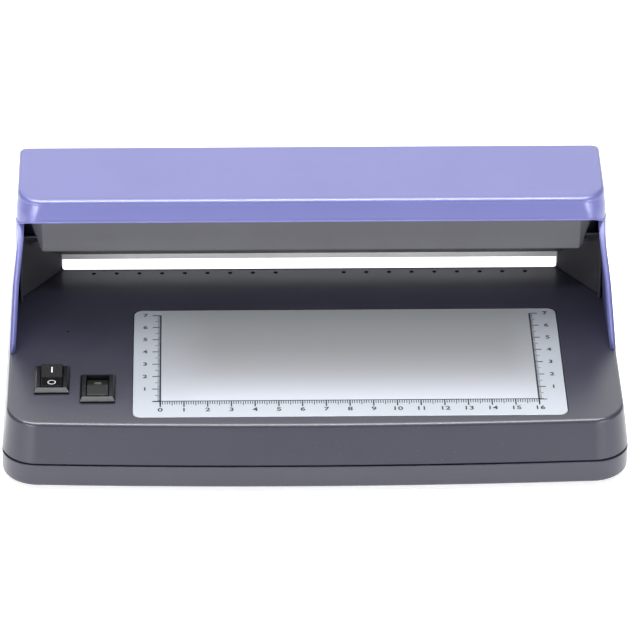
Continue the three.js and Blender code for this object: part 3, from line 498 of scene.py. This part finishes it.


# ---- Document window -----------------------------------------------------------------------------
# Flush acrylic plate: milky white under the scale's border, a clear grey field inside it; both carry painted
# light, paler towards the operator and darker towards the rear as painted shade under the hood. It drops into
# the top shell's ledge; the scale is screen-printed black.
opal = bpy.data.materials.new("opal_acrylic")
opal.use_nodes = True
field_x, field_low = (win[0] + 11.6, win[1] - 11.6), win[2] + 12.2


def acrylic(m):
    """Base colour with painted light: outside the scale's field a border tone painted darker towards the rear
    as the hood's shade, unevenly; inside it a grey painted pale towards the operator as painted light and dark
    towards the rear as painted shade, paler towards both ends. Wiping streaks in the gloss."""
    new, link = m.node_tree.nodes.new, m.node_tree.links.new
    shader = m.node_tree.nodes["Principled BSDF"]
    where, split = new("ShaderNodeTexCoord"), new("ShaderNodeSeparateXYZ")
    link(where.outputs["Object"], split.inputs[0])

    def ramp(source, low, high, floor=0.0):
        """Eases from a floor value to 1 as the source goes from low to high."""
        r = new("ShaderNodeMapRange")
        r.interpolation_type, r.inputs["To Min"].default_value = "SMOOTHSTEP", floor
        r.inputs["From Min"].default_value, r.inputs["From Max"].default_value = low, high
        link(source, r.inputs["Value"])
        return r.outputs[0]

    def times(a, b):
        """Product of two masks."""
        t = new("ShaderNodeMath")
        t.operation = "MULTIPLY"
        link(a, t.inputs[0])
        link(b, t.inputs[1])
        return t.outputs[0]

    x, y = split.outputs["X"], split.outputs["Y"]
    soft = 0.0008
    left, right = field_x[0] * MM, field_x[1] * MM
    across = times(ramp(x, left, left + soft), ramp(x, right, right - soft))
    fading = times(ramp(x, left, left + 0.026, 0.6), ramp(x, right, right - 0.014, 0.75))
    field = times(times(across, fading), ramp(y, field_low * MM - soft, field_low * MM))
    # Painted light and shade: the field's grey is painted pale bluish towards the operator and dark towards the
    # rear, under the hood.
    painted_light_ramp = new("ShaderNodeValToRGB")
    painted_light_ramp.color_ramp.interpolation = "B_SPLINE"
    stops = painted_light_ramp.color_ramp.elements
    stops[0].color, stops[-1].color = (0.68, 0.72, 0.79, 1), (0.32, 0.345, 0.355, 1)
    stops.new(0.30).color = (0.35, 0.355, 0.375, 1)
    stops.new(0.62).color = (0.25, 0.25, 0.26, 1)
    along = new("ShaderNodeMapRange")
    along.inputs["From Min"].default_value = field_low * MM
    along.inputs["From Max"].default_value = win[3] * MM
    link(y, along.inputs["Value"])
    link(along.outputs[0], painted_light_ramp.inputs[0])
    g = new("ShaderNodeGroup")
    g.node_tree = handled
    # Painted shade: the border tone darkens towards the rear, under the hood, with mottle for unevenness.
    border, both = new("ShaderNodeMix"), new("ShaderNodeMix")
    border.data_type = both.data_type = "RGBA"
    border.inputs[6].default_value = (0.52, 0.56, 0.61, 1)
    border.inputs[7].default_value = (0.33, 0.35, 0.39, 1)
    faint, painted_shade_and_mottle = new("ShaderNodeMapRange"), new("ShaderNodeMath")
    faint.inputs["To Min"].default_value, faint.inputs["To Max"].default_value = -0.08, 0.08
    link(g.outputs["Mottle"], faint.inputs["Value"])
    link(along.outputs[0], painted_shade_and_mottle.inputs[0])
    link(faint.outputs[0], painted_shade_and_mottle.inputs[1])
    link(painted_shade_and_mottle.outputs[0], border.inputs[0])
    link(field, both.inputs[0])
    link(border.outputs[2], both.inputs[6])
    link(painted_light_ramp.outputs[0], both.inputs[7])
    link(both.outputs[2], shader.inputs["Base Color"])
    streak = new("ShaderNodeMapRange")
    streak.inputs["To Min"].default_value, streak.inputs["To Max"].default_value = 0.20, 0.12
    link(g.outputs["Smudge"], streak.inputs["Value"])
    link(streak.outputs[0], shader.inputs["Roughness"])


acrylic(opal)
rise = np.linspace(0, np.pi / 2, 5)
window_rows = [at_height(window_loop(0.0), win_lo.z / MM)]
window_rows += [at_height(window_loop(-0.4 * (1 - np.cos(a))), deck - 0.4 + 0.4 * np.sin(a)) for a in rise]
pane = [skin(window_rows), plate([window_loop(0.0)], win_lo.z / MM, up=False)]
pane += [plate([window_rows[-1][:, :2]], deck)]
soften(piece("window_pane", pane, "unit", ["document_window"], opal))

ink = moulded("screen_ink", (0.012, 0.012, 0.014), (0.006, 0.006, 0.007), 0.45, grain=0.1, dust=0.1)
ink_low, ink_high = deck + 0.004, deck + 0.02


def bars(x0, x1, y0, y1):
    """Thin printed bars: arrays of plan limits become closed slabs of ink, each with eight corners
    and six faces."""
    x0, x1, y0, y1 = np.broadcast_arrays(x0, x1, y0, y1)
    low, high = np.full(x0.shape, ink_low), np.full(x0.shape, ink_high)
    corners = np.stack([
        np.stack(c, -1) for c in (
            (x0, y0, low), (x1, y0, low), (x1, y1, low), (x0, y1, low),
            (x0, y0, high), (x1, y0, high), (x1, y1, high), (x0, y1, high))
    ], 1)
    cell = np.array([[3, 2, 1, 0], [4, 5, 6, 7], [0, 1, 5, 4], [1, 2, 6, 5], [2, 3, 7, 6], [3, 0, 4, 7]])
    faces = (cell[None] + 8 * np.arange(len(x0))[:, None, None]).reshape(-1, 4)
    return corners.reshape(-1, 3), faces


zero_x, zero_y, far_x = field_x[0], field_low, field_x[0] + 160
across = np.arange(161)
tick = np.select([across % 10 == 0, across % 5 == 0], [4.2, 3.1], 2.2)
thick = np.where(across % 10 == 0, 0.60, 0.36)
up = np.arange(71)
side_tick = np.select([up % 10 == 0, up % 5 == 0], [3.2, 2.0], 1.0)
side_thick = np.where(up % 10 == 0, 0.60, 0.38)
print_patches = [
    bars(zero_x + across - thick / 2, zero_x + across + thick / 2, zero_y - tick, zero_y + 0.4),
    bars(np.array([zero_x - 3.0]), zero_x + 162.2, zero_y + 0.0, zero_y + 0.62),
    bars(np.array([zero_x, far_x]) - 0.34, np.array([zero_x, far_x]) + 0.34, zero_y - 3.0, zero_y + 70.1),
    bars(zero_x - 0.25 - side_tick, zero_x - 0.24, zero_y + up - side_thick / 2, zero_y + up + side_thick / 2),
    bars(far_x + 0.24, far_x + 0.25 + side_tick, zero_y + up - side_thick / 2, zero_y + up + side_thick / 2),
]


def figure(text, x, y, size):
    """A printed number as closed outline geometry, centred at a plan point."""
    curve = bpy.data.curves.new("figure", "FONT")
    curve.body, curve.size, curve.extrude = text, size * MM, (ink_high - ink_low) / 2 * MM
    curve.align_x = curve.align_y = "CENTER"
    curve.resolution_u, curve.offset = 4, 0.09 * MM
    curve.space_character = 1.05
    temporary = bpy.data.objects.new("figure", curve)
    bpy.context.collection.objects.link(temporary)
    mesh = temporary.to_mesh()
    flat = np.empty(len(mesh.vertices) * 3, np.float32)
    mesh.vertices.foreach_get("co", flat)
    points = flat.reshape(-1, 3).astype(float) / MM
    points *= (1.12, 1.0, 1.0)
    points += (x, y, (ink_low + ink_high) / 2)
    faces = [list(p.vertices) for p in mesh.polygons]
    temporary.to_mesh_clear()
    bpy.data.objects.remove(temporary)
    bpy.data.curves.remove(curve)
    return points, faces


figures = [figure(str(n), zero_x + 10 * n, zero_y - 6.6, 3.9) for n in range(17)]
figures += [figure(str(n), zero_x - 6.6, zero_y + 10 * n, 3.6) for n in range(1, 8)]
figures += [figure(str(n), zero_x + 166.8, zero_y + 10 * n, 3.6) for n in range(1, 8)]


def printed(name, patches, body, material):
    """One object from printed patches whose faces have any number of corners, with flat shading."""
    points, faces, start = [], [], 0
    for p, f in patches:
        points.append(np.asarray(p, float))
        faces += [[int(v) + start for v in face] for face in f]
        start += len(p)
    mesh = bpy.data.meshes.new(name)
    mesh.from_pydata((np.concatenate(points) * MM).tolist(), [], faces)
    mesh.materials.append(material)
    made = bpy.data.objects.new(name, mesh)
    bpy.context.collection.objects.link(made)
    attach(made, body)
    return made


printed("window_scale", [*print_patches, *figures], "unit", ink)


# ---- Rocker switches -----------------------------------------------------------------------------
# Snap-in housings of glossy black nylon with a bevelled bezel. The mains rocker is black with white
# marks, the window rocker is smoke-tinted; each rocks about a pin through its housing.
nylon = moulded(
    "black_nylon", (0.008, 0.008, 0.010), (0.005, 0.005, 0.006), 0.22, grain=0.03, pitch=4200.0,
    smudge=0.04, dust=0.01, Specular_IOR_Level=0.3,
)
key_black = moulded(
    "key_black", (0.006, 0.006, 0.007), (0.004, 0.004, 0.005), 0.26, grain=0.02, dust=0.03,
    Specular_IOR_Level=0.10,
)
smoke = moulded(
    "smoke_cap", (0.020, 0.022, 0.018), (0.013, 0.015, 0.012), 0.30, grain=0.02, dust=0.06,
    Specular_IOR_Level=0.22,
)
mark_white = moulded("mark_white", (0.80, 0.80, 0.80), (0.70, 0.70, 0.70), 0.45, grain=0.1, dust=0.0)


seat = deck + 0.3  # what stands on the deck starts this far above it


def centred(w, l, r=0.3):
    """Rounded rectangle about the origin, from its half width and half length."""
    return rounded_box(-w, w, -l, l, r, 3)


def housing(name, x, y):
    """Bezel and body as one stack of rounded rectangles: body, flange, bevel, rim, then the well."""
    bottom, well = deck - 12.5, deck - 7.2
    stack = [
        (6.5, 9.6, bottom, 0.3), (6.5, 9.6, seat, 0.3), (7.5, 10.5, seat, 0.4), (7.5, 10.5, seat + 0.5, 0.4),
        (6.5, 8.85, seat + 1.75, 0.35), (6.35, 8.7, seat + 1.8, 0.3), (4.9, 8.2, seat + 1.8, 0.25),
        (4.9, 8.2, well, 0.25),
    ]
    rows = [at_height(centred(w, l, r), z) + (x, y, 0) for w, l, z, r in stack]
    patches = [skin(rows), plate([rows[-1][:, :2]], well), plate([rows[0][:, :2]], bottom, up=False)]
    made = piece(f"{name}_bezel", patches, "unit", [f"{name}_housing"], nylon)
    soften(made, 0.12, 2, 40.0)


def rocker_cap(name, body, x, y, tilt, crown, material):
    """Rocker as a profile in (y, z) carried across: two faces that meet at the middle at the crown
    angle, end skirts and a heel; rounded along its edges and laid over at its resting tilt."""
    half, wide, top = 7.2, 4.6, 3.2
    end = top - np.tan(np.radians(crown)) * half
    skirt = end - 2.4
    profile = np.array([[-half, skirt], [-3, -3], [3, -3], [half, skirt], [half, end], [0, top], [-half, end]])
    turn_by = np.radians(tilt)
    c, s = np.cos(turn_by), np.sin(turn_by)

    def placed(points):
        """Rocks points about the pin and sets them down at the switch."""
        p = np.asarray(points, float)
        pin = deck - 1
        return np.column_stack([p[:, 0] + x, p[:, 1] * c - p[:, 2] * s + y, p[:, 1] * s + p[:, 2] * c + pin])

    ends = [np.column_stack([np.full(7, side * wide), profile]) for side in (-1, 1)]
    rings = np.stack([placed(e) for e in ends])
    flat, tris = plate([profile], 0.0)
    sides = [
        (placed(np.column_stack([np.full(len(flat), side * wide), flat[:, :2]])), tris) for side in (-1, 1)
    ]
    made = piece(f"{name}_cap", [skin(rings), *sides], body, [f"{name}_rocker"], material)
    soften(made, 0.35, 3, 4.0)
    return placed, end, half, top


def on_face(placed, end, half, top, loops, lift=0.03):
    """Marks drawn flat in (x, distance from the middle, behind it positive), laid on the rocker's
    two faces as thin closed slabs: the face falls from the middle in proportion to the distance."""
    slope = (end - top) / half

    def raised(flat, h):
        """A flat mark laid on the face, a height above it."""
        v = flat[:, 1]
        return placed(np.column_stack([flat[:, 0], v, top + slope * np.abs(v) + h]))

    flat, tris = plate(loops, 0.0)
    walls = [skin([raised(l, 0.004), raised(l, lift)]) for l in loops]
    return [(raised(flat[:, :2], lift), tris), (raised(flat[:, :2], 0.004), tris[:, ::-1]), *walls]


x, y = switch_spots["main_switch"]
housing("main_switch", x, y)
main_face = rocker_cap("main_switch", "main_rocker", x, y, 9.2, -10.8, key_black)
bar = on_face(*main_face, [rounded_box(-0.27, 0.27, 2.5, 5.4, 0.1, 3)])
ring = on_face(*main_face, [circle(0, -4.1, 1.75, 36), circle(0, -4.1, 1.36, 36)])
printed("main_switch_marks", [*bar, *ring], "main_rocker", mark_white)
x, y = switch_spots["window_switch"]
housing("window_switch", x, y)
window_face = rocker_cap("window_switch", "window_rocker", x, y, -6.0, 9.0, smoke)
faint = moulded("faint_mark", (0.50, 0.51, 0.48), (0.42, 0.43, 0.40), 0.3, grain=0.05, dust=0.0)
pair = on_face(*window_face, [rounded_box(-1.4, 1.4, 1.4, 1.8, 0.1, 2)])
pair += on_face(*window_face, [rounded_box(-1.4, 1.4, 3.0, 3.4, 0.1, 2)])
printed("window_switch_marks", pair, "window_rocker", faint)


# ---- Lit slot ------------------------------------------------------------------------------------
# Opal polycarbonate strip held in the horn's throat, in front of the side lamp, which lights it
# evenly from behind. Its ends are rounded.
glow = bpy.data.materials.new("lit_opal")
glow.use_nodes = True


def lit(m):
    """Opal plastic that gives off the lamp's light, a little dimmer at the tube's two ends, and
    mostly kept from washing out the casing round it."""
    new, link = m.node_tree.nodes.new, m.node_tree.links.new
    shader = m.node_tree.nodes["Principled BSDF"]
    shader.inputs["Base Color"].default_value = (0.9, 0.92, 0.95, 1)
    shader.inputs["Roughness"].default_value = 0.35
    shader.inputs["Emission Strength"].default_value = 1.15
    where, split = new("ShaderNodeTexCoord"), new("ShaderNodeSeparateXYZ")
    size, ends = new("ShaderNodeMath"), new("ShaderNodeMapRange")
    size.operation = "ABSOLUTE"
    ends.inputs["From Min"].default_value, ends.inputs["From Max"].default_value = 0.100, 0.108
    tone = new("ShaderNodeMix")
    tone.data_type = "RGBA"
    tone.inputs[6].default_value, tone.inputs[7].default_value = (1, 1, 1, 1), (0.86, 0.88, 0.92, 1)
    link(where.outputs["Object"], split.inputs[0])
    link(split.outputs["X"], size.inputs[0])
    link(size.outputs[0], ends.inputs["Value"])
    link(ends.outputs[0], tone.inputs[0])
    link(tone.outputs[2], shader.inputs["Emission Color"])
    seen, dim = new("ShaderNodeLightPath"), new("ShaderNodeMapRange")
    dim.inputs["To Min"].default_value, dim.inputs["To Max"].default_value = 0.22, 1.15
    link(seen.outputs["Is Camera Ray"], dim.inputs["Value"])
    link(dim.outputs[0], shader.inputs["Emission Strength"])


lit(glow)
slot_high = 5.7
strip_lo, strip_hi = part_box("slot_diffuser")
face_x0, face_x1, face_top = strip_lo.x / MM - 0.8, strip_hi.x / MM + 0.8, deck + slot_high + 0.6
face = rounded_box(face_x0, face_x1, strip_lo.z / MM, face_top, 1.2, 6)


def upright(loop, y):
    """A loop drawn in (x, z), stood up at a depth y."""
    return np.column_stack([loop[:, 0], np.full(len(loop), y), loop[:, 1]])


flat_co, flat_tris = plate([face], 0.0)
lens = [
    skin([upright(face, strip_lo.y / MM), upright(face, strip_hi.y / MM)]),
    (upright(flat_co[:, :2], strip_lo.y / MM), flat_tris),
    (upright(flat_co[:, :2], strip_hi.y / MM), flat_tris[:, ::-1]),
]
soften(piece("slot_lens", lens, "unit", ["slot_diffuser"], glow))


# ---- Lamp horn -----------------------------------------------------------------------------------
# Dark grey inner moulding, matt: a visor under the lip, a sloped roof and flared sides that narrow to the lit
# slot, and a strip over the slot. The roof and sides take a darker copy of the visor's grey as painted shade,
# and the strip a pale grey as painted lamplight.
# Painted shade: the funnel's grey is a darker copy of the visor's plastic, for the shade under the hood; the
# visor and cheeks keep the lighter grey.
horn_painted_shade = moulded("horn_abs_painted_shade", (0.036, 0.036, 0.043), (0.030, 0.030, 0.036), 0.50, grain=0.12, dust=0.15)
# Painted light: the strip over the slot is the horn's plastic painted pale grey for the lamp's glare on it.
strip_painted_lamplight = moulded("strip_abs_painted_lamplight", (0.74, 0.74, 0.76), (0.62, 0.62, 0.64), 0.40, grain=0.08, dust=0.15)
visor_grey = moulded("visor_abs", (0.125, 0.124, 0.141), (0.108, 0.107, 0.122), 0.42, grain=0.12, dust=0.15)
hood_half = half_width - 2.2
throat_x = level("slot_diffuser", 1, "x") + 1.2
mouth_x = level("lamp_horn", 1, "x")
visor_y = level("lamp_horn", 0, "y")
eave = deck + slot_high + 2.6
pitch = np.tan(np.radians(42))
flare = (hood_half - 4.5 - throat_x) / 23.0
mouth_y = throat_y - (mouth_x - throat_x) / flare


def sheet(grid, drop=None):
    """Quads of an open grid of points (m, n, 3)."""
    grid = np.asarray(grid, float)
    m, n = grid.shape[:2]
    i = np.arange(m - 1)[:, None] * n
    j = np.arange(n - 1)[None, :]
    quads = np.stack([i + j, i + j + 1, i + n + j + 1, i + n + j], -1).reshape(-1, 4)
    points = grid.reshape(-1, 3)
    if drop is not None:
        quads = quads[~drop(points[quads].mean(1))]
    return points, quads


def funnel_row(y, x):
    """A section of the horn across the unit: up one flared side, over the roof, down the other."""
    top = eave + (throat_y - y) * pitch
    half_roof = np.linspace(-x, x, 9)
    z_side = np.linspace(seat, top, 5)[:-1]
    left = np.column_stack([np.full(4, -x), np.full(4, y), z_side])
    roof = np.column_stack([half_roof, np.full(9, y), np.full(9, top)])
    return np.concatenate([left, roof, left[::-1] * (-1, 1, 1)])


funnel = np.stack([
    funnel_row(visor_y + 2.0, mouth_x),
    funnel_row(mouth_y, mouth_x),
    funnel_row((mouth_y + throat_y) / 2, (mouth_x + throat_x) / 2),
    funnel_row(throat_y, throat_x),
])
strip = np.stack([
    np.stack([[x, throat_y, eave] for x in np.linspace(-throat_x, throat_x, 9)]),
    np.stack([[x, throat_y, deck + slot_high] for x in np.linspace(-throat_x, throat_x, 9)]),
])
for name, grid, stands_for, finish in (
    ("horn_funnel", funnel[::-1], ["lamp_horn"], horn_painted_shade), ("horn_strip", strip[:, ::-1], [], strip_painted_lamplight)):
    part = piece(name, [sheet(grid)], "unit", stands_for, finish, recalc=False)
    wall = part.modifiers.new("wall", "SOLIDIFY")
    wall.thickness, wall.offset = 1.0 * MM, -1.0
    soften(part, 0.35, 3, 30.0)

u, v = np.meshgrid(np.linspace(0, 1, 9), np.linspace(0, 1, 7))
for side, hand in ((-1, "l"), (1, "r")):
    cheek = np.stack([side * (115.5 + 9.6 * u), mouth_y + 1.5 + 7.0 * u * u - 2.0 * v, deck + 24 + 26 * v], -1)
    patches = [sheet(cheek[:, ::side])]
    part = piece(f"horn_cheek_{hand}", patches, "unit", [], visor_grey, recalc=False)
    wall = part.modifiers.new("wall", "SOLIDIFY")
    wall.thickness = 1.2 * MM
    soften(part)

visor_x = hood_half - 4.5 - 9.3
visor_low = deck + 26.6


def visor_section(z, inset):
    """Plan of the visor at a height: a flat front, ends chamfered back and wider towards the top."""
    t = (z - visor_low) / 20.0
    out, back = 0.3 + 7.6 * t, 0.9 + 5.5 * t
    x, y0, y1 = visor_x - inset, visor_y + inset, visor_y + 3.2 - inset
    half = np.array([[x, y0], [x + out, y0 + back], [x + out, y1 + back], [x, y1]])
    return np.concatenate([half, half[::-1] * (-1, 1)])


visor_edge, visor_top, quarter = 0.9, visor_low + 20.5, np.linspace(0, np.pi / 2, 6)
visor_steps = [(visor_low + visor_edge * (1 - np.cos(a)), visor_edge * (1 - np.sin(a))) for a in quarter]
visor_steps += [(visor_low + 6, 0.0), (visor_low + 12, 0.0), (visor_top, 0.0)]
visor_rows = [at_height(visor_section(z, inset), z) for z, inset in visor_steps]
visor = [skin(visor_rows), plate([visor_rows[0][:, :2]], visor_low, up=False)]
visor += [plate([visor_rows[-1][:, :2]], visor_top)]
soften(piece("horn_visor", visor, "unit", [], visor_grey), 0.3, 3, 30.0)


# ---- Hood ----------------------------------------------------------------------------------------
# One thin-walled cover over the lamps, moulded and painted satin lavender. Its front rolls over the
# lip, its sides run forward as two arms that stand on the deck, and its rear wall has louvres.
paint = moulded(
    "lavender_paint", (0.150, 0.158, 0.405), (0.141, 0.149, 0.382), 0.32, grain=0.015, pitch=3000.0,
    smudge=0.10, dust=0.02, Metallic=0.10, Coat_Weight=0.4, Coat_Roughness=0.15,
)
lip_y, lip_z = throat_y - 34.4, deck + 44.0
bend_y, bend_z = lip_y + 1.9, deck + 53.65
notch_z = deck + 41.2
hood_rear = rear - 1.5
corner_r, roof_r, arc_steps = 9.6, 2.4, 16
slot_rows = (deck + 26, deck + 28, deck + 32, deck + 34)
slot_marks = np.concatenate([[(i - 4) * 18 - 6.5, (i - 4) * 18 + 6.5] for i in range(9)])
side_y = lip_y + corner_r
side_lean, front_lean, rear_lean = 0.062, 0.197, 9 / 53.65


def smooth(t):
    """Eases from 0 to 1: 3t^2 - 2t^3, held at both ends."""
    t = np.clip(t, 0, 1)
    return t * t * (3 - 2 * t)


def hood_loop(z, inset=0.0):
    """The hood's plan at a height, drawn in by an inset: the sides lean in, the front leans back
    above the lip while its corners open, and the rear wall leans forward from the deck up."""
    up = z - deck
    r_front = corner_r + 1.6 * smooth((z - lip_z) / (bend_z - lip_z))
    front_y, rear_y = lip_y + front_lean * max(z - lip_z, 0), hood_rear - rear_lean * up
    return outline(
        hood_half - side_lean * up - inset, front_y + inset, rear_y - inset, max(r_front - inset, 0),
        max(3.0 - inset, 0), 0.0, slot_marks, arc_steps)


def roof(y):
    """Height of the roof: it climbs 2.4 mm from the bend and drops over the rear 7 mm."""
    climb, fall = (y - bend_y) * 2.35 / 41.4, 2.35 - (y - bend_y - 43.0) * 1.05
    return bend_z + np.minimum(climb, fall)


n_loop = len(hood_loop(lip_z))
n_edge = 22 + len(slot_marks)
behind = np.arange(n_edge + arc_steps, n_loop - arc_steps + 1)
at_front = np.ones(n_loop, bool)
at_front[behind] = False
low_loop, lip_loop = hood_loop(notch_z), hood_loop(lip_z)
notch_y = low_loop[n_edge + 11, 1]
lip_edge = np.where(at_front[:, None], lip_loop, low_loop)
drop = smooth((lip_edge[:, 1] - lip_y) / (notch_y - lip_y)) ** 0.8
lip_height = np.where(at_front, lip_z - (lip_z - notch_z) * drop, notch_z)
bead = np.where(at_front[:, None], hood_loop(lip_z, -0.4), low_loop)
hood_rows = [at_height(lip_edge, lip_height), at_height(bead, lip_height + 0.25)]
hood_rows += [at_height(bead, lip_height + 0.55), at_height(lip_edge, lip_height + 0.95)]
hood_rows += [at_height(hood_loop(z), z) for z in (lip_z + 1.5, lip_z + 4)]
for a in np.linspace(0, np.pi / 2, 9):
    ring = hood_loop(bend_z, roof_r * (1 - np.cos(a)))
    hood_rows.append(at_height(ring, roof(ring[:, 1]) - roof_r * (1 - np.sin(a))))
middle = (hood_loop(bend_z)[:, 1].max() - hood_loop(bend_z)[:, 1].min()) / 2
for inset in (3.4, 4.2, 5.0, 6.0, 8.0, 11.0, 15.0, 20.0, middle):
    ring = hood_loop(bend_z, inset)
    hood_rows.append(at_height(ring, roof(ring[:, 1])))
hood = [skin(hood_rows)]

heights = np.array([seat, seat + 4, deck + 12, deck + 20, *slot_rows, deck + 36.5, notch_z])
wall_grid = np.stack([at_height(hood_loop(z)[behind], z) for z in heights])


def in_louvre(c):
    """Whether a rear wall face lies in one of the louvres, nine across in two rows."""
    across = np.abs((c[:, 0] + 9) % 18 - 9) < 6.4
    rows = (np.abs(c[:, 2] - deck - 27) < 0.9) | (np.abs(c[:, 2] - deck - 33) < 0.9)
    return across & rows & (np.abs(c[:, 0]) < 80) & (c[:, 1] > hood_rear - 12)


hood.append(sheet(wall_grid, in_louvre))
arc_y = low_loop[n_edge + 11:n_edge + arc_steps + 1, 1]
share = (arc_y - notch_y) / (side_y - notch_y)
for side in (1, -1):
    z = heights[:, None]
    edge_y = foot_y + (notch_y - foot_y) * (z - seat) / (notch_z - seat)
    y = edge_y + (side_y - edge_y) * share[None]
    held = side_y - np.clip(y, notch_y, side_y)
    pull = (corner_r - np.sqrt(corner_r**2 - held**2)) * smooth((z - deck - 18) / (38.8 - 18))
    x = side * (hood_half - side_lean * (z - deck) - pull)
    arm_grid = np.stack([x, y, np.broadcast_to(z, x.shape)], -1)
    hood.append(sheet(arm_grid if side > 0 else arm_grid[:, ::-1]))
cover = piece("hood_shell", hood, "unit", ["hood_cover"], paint, recalc=False)
wall = cover.modifiers.new("wall", "SOLIDIFY")
wall.thickness, wall.offset, wall.use_even_offset, wall.use_quality_normals = 2.5 * MM, -1.0, True, True
soften(cover)


# ---- Counter and light -----------------------------------------------------------------------------
# A plain pale floor under soft boxes: one overhead, a backdrop, a fill from the operator's side and
# a panel at each front corner. A narrow strip shows only as the glint along rounded edges.
ground = bpy.data.meshes.new("counter")
ground.from_pydata([(-12, -12, 0), (12, -12, 0), (12, 12, 0), (-12, 12, 0)], [], [(0, 1, 2, 3)])
pale = bpy.data.materials.new("pale_counter")
pale.use_nodes = True
pale.node_tree.nodes["Principled BSDF"].inputs["Base Color"].default_value = (0.95, 0.95, 0.955, 1)
pale.node_tree.nodes["Principled BSDF"].inputs["Roughness"].default_value = 0.9
pale.node_tree.nodes["Principled BSDF"].inputs["Emission Color"].default_value = (1, 1, 1, 1)
pale.node_tree.nodes["Principled BSDF"].inputs["Emission Strength"].default_value = 0.66
ground.materials.append(pale)
floor = bpy.data.objects.new("counter", ground)
bpy.context.collection.objects.link(floor)

sky = bpy.data.worlds.new("studio")
sky.use_nodes = True
sky.node_tree.nodes["Background"].inputs["Color"].default_value = (1.0, 1.0, 1.0, 1)
sky.node_tree.nodes["Background"].inputs["Strength"].default_value = 0.40
bpy.context.scene.world = sky


def softbox(name, place, aim, width, height, power):
    """Rectangular area light at a place, turned to face a point."""
    lamp = bpy.data.lights.new(name, "AREA")
    lamp.shape, lamp.size, lamp.size_y, lamp.energy = "RECTANGLE", width, height, power
    holder = bpy.data.objects.new(name, lamp)
    holder.location = place
    way = np.array(aim, float) - np.array(place, float)
    z = -way / np.linalg.norm(way)
    x = np.cross((0, 1, 0), z)
    x /= np.linalg.norm(x)
    holder.rotation_euler = Matrix(np.column_stack([x, np.cross(z, x), z]).tolist()).to_euler()
    bpy.context.collection.objects.link(holder)
    return holder


softbox("overhead", (-0.2, 0.55, 1.5), (0, 0, 0.05), 1.8, 0.9, 15.0)
softbox("backdrop", (0, 1.9, 1.05), (0, 0, 0.1), 3.0, 1.3, 18.0)
softbox("front_fill", (-0.1, -0.62, 1.42), (0, -0.02, 0.06), 1.7, 0.22, 11.0)
glint = softbox("edge_glint", (-0.1, -0.19, 1.45), (0, -0.02, 0.06), 1.9, 0.34, 38.0)
glint.visible_diffuse = False
softbox("left_panel", (-0.95, -1.30, 0.42), (0, 0, 0.05), 0.22, 0.8, 9.0)
softbox("right_panel", (1.05, -1.25, 0.42), (0, 0, 0.05), 0.20, 0.8, 8.0)
